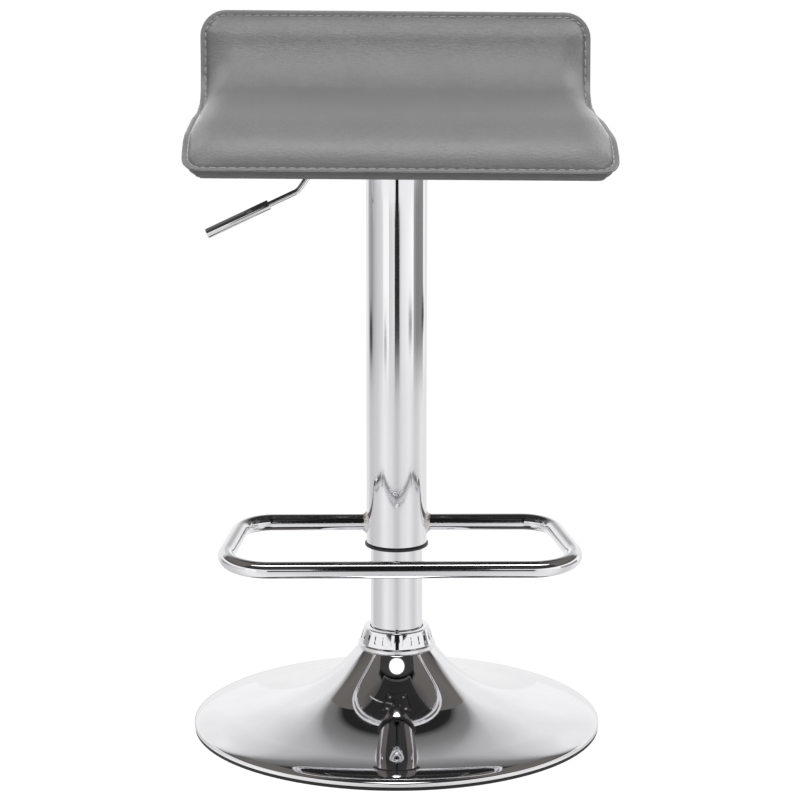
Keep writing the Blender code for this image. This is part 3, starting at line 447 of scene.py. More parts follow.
SHELL_WALL = 0.0015
SLOPE_STEP = 0.00002
NECK_TOP = 0.0815
NECK_UNDER = 0.0791
RIM_EDGE = 0.0003
FLARE_STEPS, ROLL_STEPS = 70, 36
roll_start = BASE_RADIUS - ROLL_WIDTH
shell_radii = [NECK_RADIUS + (roll_start - NECK_RADIUS) * (i / FLARE_STEPS) ** 1.3 for i in range(FLARE_STEPS + 1)]
shell_radii += [roll_start + ROLL_WIDTH * math.sin(math.pi / 2 * i / ROLL_STEPS) for i in range(1, ROLL_STEPS)]
shell = [(NECK_HOLE, NECK_TOP)] + [(r, shell_height(r)) for r in shell_radii]
shell += [(BASE_RADIUS, RIM_TOP), (BASE_RADIUS, RIM_BOTTOM + RIM_EDGE), (BASE_RADIUS - RIM_EDGE, RIM_BOTTOM)]
shell += [(BASE_RADIUS - SHELL_WALL, RIM_BOTTOM), (BASE_RADIUS - SHELL_WALL, RIM_TOP)]
shell += [shell_underside(r) for r in shell_radii[-2:2:-3]]
shell += [(NECK_HOLE, NECK_UNDER)]
add_piece("base_shell_plated", turned_mesh(shell, 240), "base", CHROME_BASE, ["base_shell"])
floor_ring = ring_profile(0.1800, 0.1920, 0.0, 0.0030, 0.0006)
add_piece("floor_ring_rubber", turned_mesh(floor_ring, 192), "base", RUBBER, ["floor_ring"])

COLLAR_FOOT = 0.0788
COLLAR_TOP = 0.0983
COLLAR_BORE = 0.0250
COLLAR_TOP_RADIUS = 0.0305
COLLAR_WALL_RADIUS = 0.0349
COLLAR_WALL_START = 0.0046
COLLAR_FOOT_RADIUS = 0.0366
COLLAR_LID = 0.0030
SLOTS = 24
SLOT_HALF_WIDTH, SLOT_HALF_HEIGHT = 0.0013, 0.0043
SLOT_ROUNDING = 0.00125
SLOT_DEPTHS = (-0.0010, 0.002)
collar_section = turned_profile((
    (COLLAR_BORE, COLLAR_TOP, 0.0004),
    (COLLAR_TOP_RADIUS, COLLAR_TOP, 0.0014),
    (COLLAR_WALL_RADIUS, COLLAR_FOOT + COLLAR_WALL_START, 0.0006),
    (COLLAR_FOOT_RADIUS, COLLAR_FOOT + 0.0036, 0.0010),
    (COLLAR_FOOT_RADIUS, COLLAR_FOOT, 0.0003),
    (0.0350, COLLAR_FOOT + 0.0009, 0.0002),
    (0.0328, COLLAR_FOOT + 0.0040, 0.0005),
    (0.0285, COLLAR_TOP - COLLAR_LID, 0.0005),
    (COLLAR_BORE, COLLAR_TOP - COLLAR_LID, 0.0004),
))
slot_lean = math.atan2(COLLAR_WALL_RADIUS - COLLAR_TOP_RADIUS, COLLAR_TOP - COLLAR_FOOT - COLLAR_WALL_START)
slot_middle = Vector((0.03285, 0.0, 0.0908))
slot_corners = [(0, SLOT_HALF_WIDTH * across, SLOT_HALF_HEIGHT * up)
                for across, up in ((-1, -1), (1, -1), (1, 1), (-1, 1))]
slot_outline = rounded_corners(slot_corners, [SLOT_ROUNDING] * 4, 4, True)
slot_bm = bmesh.new()
for i in range(SLOTS):
    slot_place = (Matrix.Rotation(math.tau * (i + 0.5) / SLOTS, 4, "Z") @ Matrix.Translation(slot_middle)
                  @ Matrix.Rotation(-slot_lean, 4, "Y"))
    rings = [[slot_bm.verts.new(slot_place @ (p + Vector((depth, 0, 0)))) for p in slot_outline]
             for depth in SLOT_DEPTHS]
    loop_faces(slot_bm, rings, False, True)
slot_cutter = new_object("collar_slot_cutter", finish_mesh(slot_bm))
collar = new_object("trim_collar_blank", turned_mesh(collar_section, 192))
cut = collar.modifiers.new("slots", "BOOLEAN")
cut.operation = "DIFFERENCE"
cut.solver = "EXACT"
cut.object = slot_cutter
bpy.context.view_layer.update()
slotted = bpy.data.meshes.new_from_object(collar.evaluated_get(bpy.context.evaluated_depsgraph_get()))
for scrap in (collar, slot_cutter):
    bpy.data.objects.remove(scrap, do_unlink=True)
slotted.shade_smooth()
slotted.set_sharp_from_angle(angle=math.radians(SHARP_ANGLE))
add_piece("trim_collar_plated", slotted, "base", CHROME_BENT, ["trim_collar"])

# Column, outer tube and glide ring
COLUMN_BORE, COLUMN_BOTTOM, COLUMN_TOP = 0.0227, 0.0180, 0.4700
TUBE_BORE = 0.0270
GLIDE_BORE, GLIDE_SLEEVE, GLIDE_FLANGE = 0.0250, 0.0267, 0.0298
GLIDE_TOP, GLIDE_STEP, GLIDE_BOTTOM = 0.2145, 0.1802, 0.1772
column_wall = ring_profile(COLUMN_BORE, COLUMN_RADIUS, COLUMN_BOTTOM, COLUMN_TOP, 0.0005)
add_piece("inner_column_plated", turned_mesh(column_wall, 128), "base", CHROME_COLUMN, ["inner_column"])
tube_wall = ring_profile(TUBE_BORE, TUBE_RADIUS, TUBE_BOTTOM, TUBE_TOP, 0.0006)
add_piece("outer_tube_plated", turned_mesh(tube_wall, 128), "seat", CHROME, ["outer_tube"])
glide = turned_profile((
    (GLIDE_BORE, GLIDE_TOP, 0.0003), (GLIDE_SLEEVE, GLIDE_TOP, 0.0003), (GLIDE_SLEEVE, GLIDE_STEP, 0.0),
    (GLIDE_FLANGE, GLIDE_STEP, 0.0008), (GLIDE_FLANGE, GLIDE_BOTTOM, 0.0008), (GLIDE_BORE, GLIDE_BOTTOM, 0.0004)))
add_piece("glide_ring_black", turned_mesh(glide, 128), "seat", PLASTIC, ["glide_ring"])

# Footrest with its welds
FOOT_END = 0.0276
FOOT_BACK = 0.1430
FOOT_REACH = 0.1300
FOOT_DROP = 0.0101
FOOT_FRONT = 0.1673
FOOT_ASKEW = 0.0035
BACK_BEND, FRONT_BEND = 0.0320, 0.0400
foot_slope = math.atan2(FOOT_DROP, FOOT_REACH)
foot_front_height = FOOT_HEIGHT - FOOT_DROP
foot_corners = [
    (FOOT_END, 0, FOOT_HEIGHT), (FOOT_BACK, 0, FOOT_HEIGHT),
    (FOOT_ASKEW + FOOT_FRONT, -FOOT_REACH, foot_front_height),
    (FOOT_ASKEW - FOOT_FRONT, -FOOT_REACH, foot_front_height),
    (-FOOT_BACK, 0, FOOT_HEIGHT), (-FOOT_END, 0, FOOT_HEIGHT)]
foot_path = rounded_corners(foot_corners, [0, BACK_BEND, FRONT_BEND, FRONT_BEND, BACK_BEND, 0], 28, False)
foot_normal = Vector((0, -math.sin(foot_slope), math.cos(foot_slope)))
foot_mesh = bar_mesh(foot_path, FOOT_RADIUS, foot_normal, 40)
add_piece("footrest_loop_plated", foot_mesh, "seat", CHROME_BENT, ["footrest_loop"])
WELD_RISE = 0.0032
WELD_WIDTH = 0.0036
WELD_ROOT = 0.0004
WELD_OFF_BAR = 0.0001
WELD_INTO_TUBE = 0.0002


def weld_mesh(side):
    """A lumpy fillet of weld that tapers from the tube's wall to the bar."""
    bm = bmesh.new()
    rings = []
    around, section = 64, 10
    for k in range(around):
        angle = math.tau * k / around
        lump = 1 + 0.10 * math.sin(angle * 9 + side) + 0.05 * math.sin(angle * 21)
        outline = [(WELD_RISE * lump * (1 - j / section) ** 1.7, WELD_WIDTH * lump * j / section)
                   for j in range(section + 1)]
        outline += [(-WELD_ROOT, WELD_WIDTH * 0.9), (-WELD_ROOT, -WELD_ROOT)]
        ring = []
        for rise, out in outline:
            radius = FOOT_RADIUS + WELD_OFF_BAR + rise
            y = radius * math.cos(angle)
            z = radius * math.sin(angle)
            surface = math.sqrt(TUBE_RADIUS ** 2 - y * y)
            ring.append(bm.verts.new((side * (surface - WELD_INTO_TUBE + out), y, FOOT_HEIGHT + z)))
        rings.append(ring)
    loop_faces(bm, rings, True, False)
    return finish_mesh(bm, 60)


for word, side in (("left", -1), ("right", 1)):
    add_piece("footrest_weld_bead_" + word, weld_mesh(side), "seat", WELD, ["footrest_weld_" + word])

# Release lever: bent rod and grip
ROD_RADIUS = 0.0029
ROD_BEND = 0.011
ROD_IN_GRIP = 0.0397
GRIP_LENGTH = 0.0640
GRIP_RADIUS = 0.0049
GRIP_BORE, GRIP_DEPTH = 0.0032, 0.0400
lever_start = Vector((-0.0358, 0, LEVER_HEIGHT))
lever_bend = Vector((-0.0660, 0, LEVER_HEIGHT))
lever_elbow = lever_bend + Vector((-0.0250, 0, -0.0345))
lever_tip = lever_elbow + Vector((-0.0841, 0, -0.0395))
arm = (lever_tip - lever_elbow).normalized()
grip_start = lever_tip - arm * GRIP_LENGTH
rod_corners = [lever_start, lever_bend, lever_elbow, grip_start + arm * ROD_IN_GRIP]
rod_path = rounded_corners(rod_corners, [0, ROD_BEND, ROD_BEND, 0], 20, False)
rod_mesh = bar_mesh(rod_path, ROD_RADIUS, Vector((0, 1, 0)), 32)
add_piece("lever_rod_plated", rod_mesh, "lever", CHROME_BENT, ["lever_rod"])
grip_profile = turned_profile((
    (0.0, GRIP_LENGTH, 0), (GRIP_RADIUS, GRIP_LENGTH, 0.0009), (GRIP_RADIUS, 0.0, 0.0006), (GRIP_BORE, 0.0, 0.0002),
    (GRIP_BORE, GRIP_DEPTH, 0), (0.0, GRIP_DEPTH, 0)))
grip_place = Matrix.Translation(grip_start) @ arm.to_track_quat("Z", "Y").to_matrix().to_4x4()
grip_mesh = turned_mesh(grip_profile, 64)
grip_mesh.transform(grip_place)
add_piece("lever_grip_plated", grip_mesh, "lever", CHROME_BENT, ["lever_grip"])


# The seat's side profile: straight runs and bends from the top of the back to the front lip,
# each as (length, heading at its start, heading at its end), headings in degrees above forward
def straight(length, heading):
    """A run that keeps its heading."""
    return length, heading, heading


def bend(radius, first, last):
    """A run that turns from one heading to another."""
    return radius * math.radians(abs(last - first)), first, last


# The run in which the pan is highest
CREST_RUN = 8
RUNS = (
    straight(0.0625, -86.0),
    bend(0.0240, -86.0, -22.0),
    bend(0.0620, -22.0, 0.0),
    straight(0.0300, 0.0),
    bend(0.6000, 0.0, 4.5),
    straight(0.0500, 4.5),
    bend(1.0000, 4.5, 1.9),
    straight(0.0980, 1.9),
    bend(0.2000, 1.9, -5.0),
    bend(0.1100, -5.0, -28.0),
    straight(0.0110, -28.0),
    bend(0.0020, -28.0, -8.0),
    straight(0.0066, -8.0),
)
# The first run after the tight bend, where the pan starts
PAN_RUN = 3


def run_start(number):
    """Distance along the profile at which a run starts."""
    return sum(run[0] for run in RUNS[:number])


PROFILE_LENGTH = run_start(len(RUNS))
crest_length, crest_first, crest_last = RUNS[CREST_RUN]
CREST_AT = run_start(CREST_RUN) + crest_length * crest_first / (crest_first - crest_last)


def walk(distance):
    """Forward and up reached after a distance along the profile, with the heading there."""
    forward = up = 0.0
    for length, first, last in RUNS:
        used = min(max(distance, 0.0), length)
        a = math.radians(first)
        b = math.radians(first + (last - first) * used / length)
        if first == last:
            forward += used * math.cos(a)
            up += used * math.sin(a)
        else:
            radius = length / math.radians(last - first)
            forward += radius * (math.sin(b) - math.sin(a))
            up += radius * (math.cos(a) - math.cos(b))
        distance -= length
        if distance <= 0:
            break
    return forward, up, b


CREST_FORWARD, CREST_UP, _ = walk(CREST_AT)


def seat_point(x, distance, lift):
    """A point of the seat: across, along the profile, and off it towards the sitter."""
    forward, up, heading = walk(distance)
    return Vector((x + SEAT_ASIDE, CREST_Y - (forward - CREST_FORWARD) + lift * math.sin(heading),
                   CREST_HEIGHT + (up - CREST_UP) + lift * math.cos(heading) - x * math.tan(SEAT_TILT)))


def outline_points(inset, shares):
    """Points (x, distance) round the seat's outline drawn in by inset, at shares of its full length."""
    half = SEAT_WIDTH / 2
    front = PROFILE_LENGTH - CORNER_FRONT
    side = front - CORNER_BACK
    # Each corner as (centre across, centre along, radius, quarter turn at its start); a straight run leads to it
    corners = ((half - CORNER_BACK, CORNER_BACK, CORNER_BACK, -1), (half - CORNER_FRONT, front, CORNER_FRONT, 0),
               (CORNER_FRONT - half, front, CORNER_FRONT, 1), (CORNER_BACK - half, CORNER_BACK, CORNER_BACK, 2))
    runs = (2 * (half - CORNER_BACK), side, 2 * (half - CORNER_FRONT), side)
    spans = [span for run, corner in zip(runs, corners) for span in (run, corner[2] * math.pi / 2)]
    total = sum(spans)

    def on_corner(number, t):
        across, along, radius, quarter = corners[number]
        turn = (quarter + t) * math.pi / 2
        return across + (radius - inset) * math.cos(turn), along + (radius - inset) * math.sin(turn)

    points = []
    for share in shares:
        rest = (share % 1.0) * total
        number = 0
        while rest > spans[number] and number < len(spans) - 1:
            rest -= spans[number]
            number += 1
        t = min(rest / spans[number], 1.0)
        if number % 2:
            points.append(on_corner(number // 2, t))
        else:
            (x0, s0), (x1, s1) = on_corner(number // 2 - 1, 1.0), on_corner(number // 2, 0.0)
            points.append((x0 + (x1 - x0) * t, s0 + (s1 - s0) * t))
    return points, total


def swept_mesh(section, shares, lift_change):
    """A closed section of (inset, lift) carried round the seat's outline, with a change of lift at each point."""
    bm = bmesh.new()
    columns = []
    for j, (inset, lift) in enumerate(section):
        places, _ = outline_points(inset, shares)
        column = []
        for i, (x, s) in enumerate(places):
            column.append(bm.verts.new(seat_point(x, s, lift + lift_change(j, i))))
        columns.append(column)
    rings = [list(ring) for ring in zip(*columns)]
    loop_faces(bm, rings, True, False)
    return finish_mesh(bm, 50)


# Welt: the two covers' edges sewn together, with a stitch line near its inner side
_, WELT_LENGTH = outline_points(0.0, [0.0])
STITCH_PITCH = 0.0086
STITCHES = round(WELT_LENGTH / STITCH_PITCH)
STITCH_STEPS = (0.0, 0.10, 0.30, 0.55, 0.80, 0.90)
STITCH_INSET = 0.0050
STITCH_LEAN = 0.00022
THREAD_RADIUS = 0.00042
welt_shares = [(i + step) / STITCHES for i in range(STITCHES) for step in STITCH_STEPS]
welt_section = [
    (0.0125, 0.0004), (0.0096, 0.0009), (0.0072, 0.00105), (0.0060, 0.0008), (STITCH_INSET, 0.0005),
    (0.0040, 0.0009), (0.0027, 0.00115), (0.0013, 0.0011), (0.0004, 0.0009), (0.0000, 0.0005), (0.0003, 0.00006),
    (0.0003, -0.00006), (0.0000, -0.0005), (0.0004, -0.0009), (0.0014, -0.0011), (0.0060, -0.0011),
    (0.0125, -0.0010)]
STITCH_ROW = 4
STITCH_MIDDLE = 0.42
STITCH_LIFT = 0.0005


def stitch_dip(j, i):
    """The leather is drawn in at each needle hole and swells a little between them."""
    at_hole = i % len(STITCH_STEPS) == 0
    if j == STITCH_ROW:
        return -0.0007 if at_hole else 0.0
    if abs(j - STITCH_ROW) == 1:
        return -0.0002 if at_hole else 0.0001
    return 0.0


welt_mesh = swept_mesh(welt_section, welt_shares, stitch_dip)
add_piece("seat_welt_sewn", welt_mesh, "seat", LEATHER_WELT, ["seat_welt"])


def stitches_mesh():
    """One short thread for each stitch, sinking into a needle hole at both ends."""
    bm = bmesh.new()
    sides = 8
    profile = ((0.04, -0.0005, 0.6), (0.10, 0.0001, 0.85), (0.22, 0.00055, 1.0), (0.50, 0.0007, 1.05),
               (0.68, 0.00055, 1.0), (0.76, 0.0001, 0.85), (0.80, -0.0005, 0.6))
    for i in range(STITCHES):
        shares = [(i + step) / STITCHES for step, _, _ in profile]
        middles, _ = outline_points(STITCH_INSET, shares)
        outers, _ = outline_points(STITCH_INSET - 0.001, shares)
        rings = []
        for (x, s), (x2, s2), (step, lift, fat) in zip(middles, outers, profile):
            out = Vector((x2 - x, s2 - s)).normalized()
            shift = STITCH_LEAN * (step - STITCH_MIDDLE) * 2
            ring = []
            for k in range(sides):
                angle = math.tau * k / sides
                across = THREAD_RADIUS * fat * math.cos(angle) + shift
                up = STITCH_LIFT + lift + THREAD_RADIUS * fat * math.sin(angle)
                ring.append(bm.verts.new(seat_point(x + out.x * across, s + out.y * across, up)))
            rings.append(ring)
        loop_faces(bm, rings, False, True)
    return finish_mesh(bm, 60)


add_piece("seat_stitching", stitches_mesh(), "seat", THREAD)

# Cover under the seat: leatherette wrapped over the board's edge, hemmed underneath
cover_section = [
    (0.0046, -0.0012), (0.0044, -0.0028), (0.0045, -0.0068), (0.0049, -0.0080), (0.0058, -0.0090),
    (0.0072, -0.0094), (0.0150, -0.0095), (0.0240, -0.0094), (0.0246, -0.0089), (0.0240, -0.0084),
    (0.0080, -0.0083), (0.0062, -0.0080), (0.0057, -0.0058), (0.0058, -0.0012)]
LOOSE_ROWS = (1, 2, 5, 6, 7)
COVER_STEPS = 480
cover_shares = [i / COVER_STEPS for i in range(COVER_STEPS)]


def cover_ripple(j, i):
    """Slight fullness where the leatherette is pulled round the corners."""
    if j in LOOSE_ROWS:
        return 0.00025 * noise.noise(Vector((i * 0.31, j * 0.7, 3.0)))
    return 0.0


cover_mesh = swept_mesh(cover_section, cover_shares, cover_ripple)
add_piece("seat_under_cover_wrapped", cover_mesh, "seat", LEATHER_WELT, ["seat_under_cover"])

# Cushion: crowned pad whose cover is drawn down to the stitch line all round
CUSHION_INSET = 0.0060
CUSHION_BOTTOM = -0.0009
CUSHION_EDGE = 0.0018
CUSHION_CROWN = 0.0195
ROLL_SIDE = 0.0260
ROLL_SLACK = 1.6
ROLL_BACK = 0.0260
ROLL_FRONT = 0.0280
ROLL_SQUARE = 2.5
GRID_STEP = 0.0040
# Between these distances along the profile the padding fills the bend
BACK_HEADING = RUNS[0][1]
FILL_START = 0.0172
FILL_END = run_start(PAN_RUN) + 0.0240
# From here to the front the padding goes straight on, while the board curls down under it
FRONT_RUN = 9
FRONT_HEADING = -21.0
front_length, front_first, front_last = RUNS[FRONT_RUN]
front_share = (FRONT_HEADING - front_first) / (front_last - front_first)
FRONT_START = run_start(FRONT_RUN) + front_length * front_share
# Places of the columns near each side, by their distance from the edge
EDGE_COLUMNS = (0.0, 0.0006, 0.0016, 0.0032, 0.0056, 0.0088, 0.0130, 0.0182, 0.0240, 0.0300, 0.0340)
CORNER_STEPS = 14


def roll(distance, width, power):
    """Share of the crown reached at a distance from the cushion's edge; a higher power stands up steeper."""
    t = min(max(distance, 0.0) / width, 1.0)
    return (1 - (1 - t) ** power) ** (1 / power)


def slab_rows(inset):
    """(distance along the profile, half width) of each row, closer together at both ends."""
    half = SEAT_WIDTH / 2 - inset
    back = CORNER_BACK - inset
    front = CORNER_FRONT - inset
    turns = [math.radians(90 * i / CORNER_STEPS) for i in range(CORNER_STEPS + 1)]
    rows = [(inset + back * (1 - math.cos(t)), half - back * (1 - math.sin(t))) for t in turns]
    start = rows[-1][0]
    end = PROFILE_LENGTH - inset - front
    count = round((end - start) / GRID_STEP)
    rows += [(start + (end - start) * i / count, half) for i in range(1, count)]
    finish = PROFILE_LENGTH - inset
    rows += [(finish - front * (1 - math.cos(t)), half - front * (1 - math.sin(t))) for t in reversed(turns)]
    return rows


def slab_columns(inset):
    """Places across a row, as shares of its half width."""
    half = SEAT_WIDTH / 2 - inset
    edge = [1 - distance / half for distance in EDGE_COLUMNS]
    count = round(2 * edge[-1] * half / GRID_STEP)
    middle = [-edge[-1] + 2 * edge[-1] * i / count for i in range(1, count)]
    return [-e for e in edge] + middle + edge[::-1]


def crown_point(x, s, lift):
    """As seat_point, but the padding rounds off the bend between back and seat in one wide arc."""
    if s > FRONT_START:
        fall = -math.radians(FRONT_HEADING)
        ahead = s - FRONT_START
        return seat_point(x, FRONT_START, lift) + Vector((0, -ahead * math.cos(fall), -ahead * math.sin(fall)))
    if not FILL_START < s < FILL_END:
        return seat_point(x, s, lift)
    start = seat_point(x, FILL_START, lift)
    end = seat_point(x, FILL_END, lift)
    fall = -math.radians(BACK_HEADING)
    forward, drop = start.y - end.y, start.z - end.z
    sine, cosine = math.sin(fall), math.cos(fall)
    radius = (forward * sine - drop * cosine) / (sine ** 2 - cosine * (1 - cosine))
    straight_part = (forward - radius * sine) / cosine
    along = (s - FILL_START) / (FILL_END - FILL_START) * (straight_part + radius * fall)
    on_line = min(along, straight_part)
    heading = fall - (along - on_line) / radius
    y = start.y - on_line * cosine - radius * (sine - math.sin(heading))
    z = start.z - on_line * sine - radius * (math.cos(heading) - cosine)
    return Vector((start.x, y, z))


def cushion_point(x, s, half):
    """A point of the cushion's cover: drawn down at the stitch line, full in the middle."""
    from_back = s - CUSHION_INSET
    from_front = PROFILE_LENGTH - CUSHION_INSET - s
    share = (roll(half - abs(x), ROLL_SIDE, ROLL_SLACK) * roll(from_back, ROLL_BACK, ROLL_SQUARE)
             * roll(from_front, ROLL_FRONT, ROLL_SQUARE))
    edge = CUSHION_BOTTOM + CUSHION_EDGE
    swell = 0.0003 * noise.noise(Vector((x * 22, s * 22, 5.0)))
    return seat_point(x, s, edge).lerp(crown_point(x, s, edge + CUSHION_CROWN + swell), share)


def slab_mesh(inset, top_point, low_lift):
    """A closed slab that follows the seat's outline and profile."""
    bm = bmesh.new()
    rows = slab_rows(inset)
    columns = slab_columns(inset)
    top = [[bm.verts.new(top_point(c * half, s, half)) for c in columns] for s, half in rows]
    low = [[bm.verts.new(seat_point(c * half, s, low_lift)) for c in columns] for s, half in rows]
    for grid, flip in ((top, False), (low, True)):
        for a, b in zip(grid, grid[1:]):
            for i in range(len(columns) - 1):
                corners = (a[i], b[i], b[i + 1], a[i + 1])
                bm.faces.new(corners[::-1] if flip else corners)
    rims = [grid[0] + [row[-1] for row in grid[1:]] + grid[-1][-2::-1] + [row[0] for row in grid[-2:0:-1]]
            for grid in (top, low)]
    loop_faces(bm, rims, False, False)
    return finish_mesh(bm, 70)


cushion_mesh = slab_mesh(CUSHION_INSET, cushion_point, CUSHION_BOTTOM)
cushion = add_piece("seat_cushion_padded", cushion_mesh, "seat", LEATHER, ["seat_cushion"])

# Bent board inside the covers
BOARD_INSET = 0.0062
BOARD_TOP = -0.0015
BOARD_BOTTOM = -0.0068
board_mesh = slab_mesh(BOARD_INSET, lambda x, s, half: seat_point(x, s, BOARD_TOP), BOARD_BOTTOM)
add_piece("seat_board_bent", board_mesh, "seat", WOOD, ["seat_board"])


# Dust cloth under the seat, open round the packing block
def profile_distance(y):
    """Distance along the pan at which the profile reaches y."""
    low, high = run_start(PAN_RUN), PROFILE_LENGTH
    for _ in range(40):
        middle = (low + high) / 2
        if seat_point(0.0, middle, 0.0).y > y:
            low = middle
        else:
            high = middle
    return low


CLOTH_INSET = 0.0150
CLOTH_LIFT = -0.0099
CLOTH_ROWS, CLOTH_COLUMNS = 90, 40
BLOCK_HALF = 0.0758
cloth_half = SEAT_WIDTH / 2 - CLOTH_INSET
cloth_rows = [CLOTH_INSET + (PROFILE_LENGTH - 2 * CLOTH_INSET) * i / CLOTH_ROWS for i in range(CLOTH_ROWS + 1)]
for edge in (profile_distance(BLOCK_HALF), profile_distance(-BLOCK_HALF)):
    nearest = min(range(CLOTH_ROWS + 1), key=lambda i: abs(cloth_rows[i] - edge))
    cloth_rows[nearest] = edge
cloth_columns = [cloth_half * (2 * i / CLOTH_COLUMNS - 1) for i in range(CLOTH_COLUMNS + 1)]
cloth_columns = [x for x in cloth_columns if abs(abs(x) - BLOCK_HALF) > 0.003]
cloth_columns = sorted(cloth_columns + [-BLOCK_HALF, BLOCK_HALF])
cloth_bm = bmesh.new()
cloth = []
for s in cloth_rows:
    row = []
    for x in cloth_columns:
        sag = 0.0004 * noise.noise(Vector((x * 30, s * 30, 1.0)))
        row.append(cloth_bm.verts.new(seat_point(x, s, CLOTH_LIFT + sag)))
    cloth.append(row)
for a, b in zip(cloth, cloth[1:]):
    for i in range(len(cloth_columns) - 1):
        middle = (a[i].co + b[i + 1].co) / 2
        if abs(middle.x) < BLOCK_HALF and abs(middle.y) < BLOCK_HALF:
            continue
        cloth_bm.faces.new((a[i], a[i + 1], b[i + 1], b[i]))
bmesh.ops.delete(cloth_bm, geom=[v for v in cloth_bm.verts if not v.link_faces], context="VERTS")
dust_cloth = add_piece("seat_dust_cloth", finish_mesh(cloth_bm, 60), "seat", FELT)
thicken = dust_cloth.modifiers.new("thickness", "SOLIDIFY")
thicken.thickness = 0.0004
thicken.offset = 0.0

# Solids kept as they are, with their own finishes and softened edges
FINISHES = {
    "steel": STEEL, "zinc": ZINC, "rubber": RUBBER, "plastic": PLASTIC, "wood": WOOD, "brass": BRASS,
    "chrome": CHROME, "leather": LEATHER_WELT,
}
BLACKENED = ("seat_plate", "lever_bracket", "hub_cone", "tube_plug", "gas_cylinder")
SOFTENED = ("seat_plate", "packing_block", "lever_rocker", "lever_bracket")
slots = {entry["node"]: entry["material_slot"] for entry in frame["record"]["subparts"]}
for node, solid in frame["nodes"].items():
    finish = BLACK_STEEL if node in BLACKENED else FINISHES[slots[node]]
    solid.data.materials.clear()
    solid.data.materials.append(finish)
for node in SOFTENED:
    edges = frame["nodes"][node].modifiers.new("edges", "BEVEL")
    edges.width = 0.0005
    edges.segments = 2
    edges.limit_method = "ANGLE"

# Studio: pale floor, soft light, and cards that only the plating mirrors
WHITE = (1.0, 1.0, 1.0, 1.0)
MIRRORED_ONLY = ("visible_camera", "visible_diffuse", "visible_shadow", "visible_transmission")
CAMERA_ONLY = ("visible_diffuse", "visible_glossy", "visible_shadow", "visible_transmission")
FLOOR_HALF = 30.0
FLOOR_SINK = -0.0002
BACKDROP_RADIUS, BACKDROP_HEIGHT = 28.0, 30.0
ROUND_STEPS = 96


def stage_mesh(name, bm, material, switched_off=()):
    """A floor, backdrop or card, with the named kinds of ray switched off."""
    mesh = bpy.data.meshes.new(name)
    bm.to_mesh(mesh)
    bm.free()
    mesh.materials.append(material)
    made = new_object(name, mesh)
    for flag in switched_off:
        setattr(made, flag, False)
    return made


def raise_rim(bm, rise):
    """A wall up from a disc's rim, as high at each place as rise says."""
    rim = [edge for edge in bm.edges if len(edge.link_faces) < 2]
    for item in bmesh.ops.extrude_edge_only(bm, edges=rim)["geom"]:
        if isinstance(item, bmesh.types.BMVert):
            item.co.z += rise(item.co)


pale = Tree("studio_floor")
PALE = pale.shade({
    "Base Color": pale.ramp(pale.noise(pale.place(), 3.0), grey(0.90), grey(0.92)),
    "Roughness": 1.0,
    "Specular IOR Level": 0.0,
    "Emission Color": WHITE,
    "Emission Strength": 0.92,
})
floor_bm = bmesh.new()
bmesh.ops.create_grid(floor_bm, x_segments=4, y_segments=4, size=FLOOR_HALF)
floor = stage_mesh("studio_floor", floor_bm, PALE)
floor.location.z = FLOOR_SINK
# Low views look past the floor's far edge: a plain round backdrop, seen by the camera alone
backdrop_bm = bmesh.new()
bmesh.ops.create_circle(backdrop_bm, radius=BACKDROP_RADIUS, segments=ROUND_STEPS)
raise_rim(backdrop_bm, lambda place: BACKDROP_HEIGHT)
stage_mesh("studio_backdrop", backdrop_bm, PALE, CAMERA_ONLY)

world = bpy.data.worlds.new("studio")
world.use_nodes = True
background = world.node_tree.nodes["Background"]
background.inputs["Color"].default_value = WHITE
background.inputs["Strength"].default_value = 0.13
scene.world = world


def dome_point(azimuth, elevation, distance):
    """A point as seen from the stool's foot (azimuth 0 is the camera's side, higher is to the viewer's right)."""
    turn, rise = math.radians(azimuth), math.radians(elevation)
    out = distance * math.cos(rise)
    return Vector((out * math.sin(turn), -out * math.cos(turn), distance * math.sin(rise)))


def card(name, azimuths, elevations, radius, stops, steps=32):
    """A self-lit card curved round the stool; stops say which grey it has at each elevation."""
    tree = Tree(name)
    height = tree.add("SeparateXYZ", {"Vector": tree.add("NewGeometry").outputs["Position"]}).outputs["Z"]
    share = tree.spread(height, 0.0, 1.0, 0.0, radius)
    shades = tree.stops(share, [(math.sin(math.radians(elevation)), grey(*shade)) for elevation, *shade in stops])
    bm = bmesh.new()
    rings = []
    for i in range(steps + 1):
        azimuth = azimuths[0] + (azimuths[1] - azimuths[0]) * i / steps
        heights = [elevations[0] + (elevations[1] - elevations[0]) * j / steps for j in range(steps + 1)]
        rings.append([bm.verts.new(dome_point(azimuth, elevation, radius)) for elevation in heights])
    for a, b in zip(rings, rings[1:]):
        for j in range(steps):
            bm.faces.new((a[j], a[j + 1], b[j + 1], b[j]))
    stage_mesh(name, bm, tree.glow(shades), MIRRORED_ONLY)


# High cards close the room above the base; what lies below them is only floor and a far wall
LOW = 16
card("card_slot", (-4.6, 6.5), (LOW, 80), 1.60, ((LOW, 0.012), (60, 0.012), (75, 0.03)))
card("card_front_left", (-58, -4.6), (LOW, 24), 1.62, ((LOW, 1.0), (24, 1.0)))
card("card_front_right", (6.5, 66), (LOW, 24), 1.62, ((LOW, 1.0), (24, 1.0)))
side_stops = ((LOW, 1.0), (22, 1.0), (26, 0.02), (29, 0.10, 0.06), (45, 0.15, 0.08), (65, 0.13, 0.08), (80, 0.05))
card("card_side_left", (-142, -58), (LOW, 88), 1.75, side_stops)
card("card_side_right", (58, 142), (LOW, 88), 1.75, side_stops)
card("card_back", (142, 218), (LOW, 88), 1.75,
     ((LOW, 1.0), (20, 1.0), (25, 0.85), (31, 0.68), (36, 0.44), (45, 0.22), (50, 0.16), (54, 0.02), (88, 0.015)))
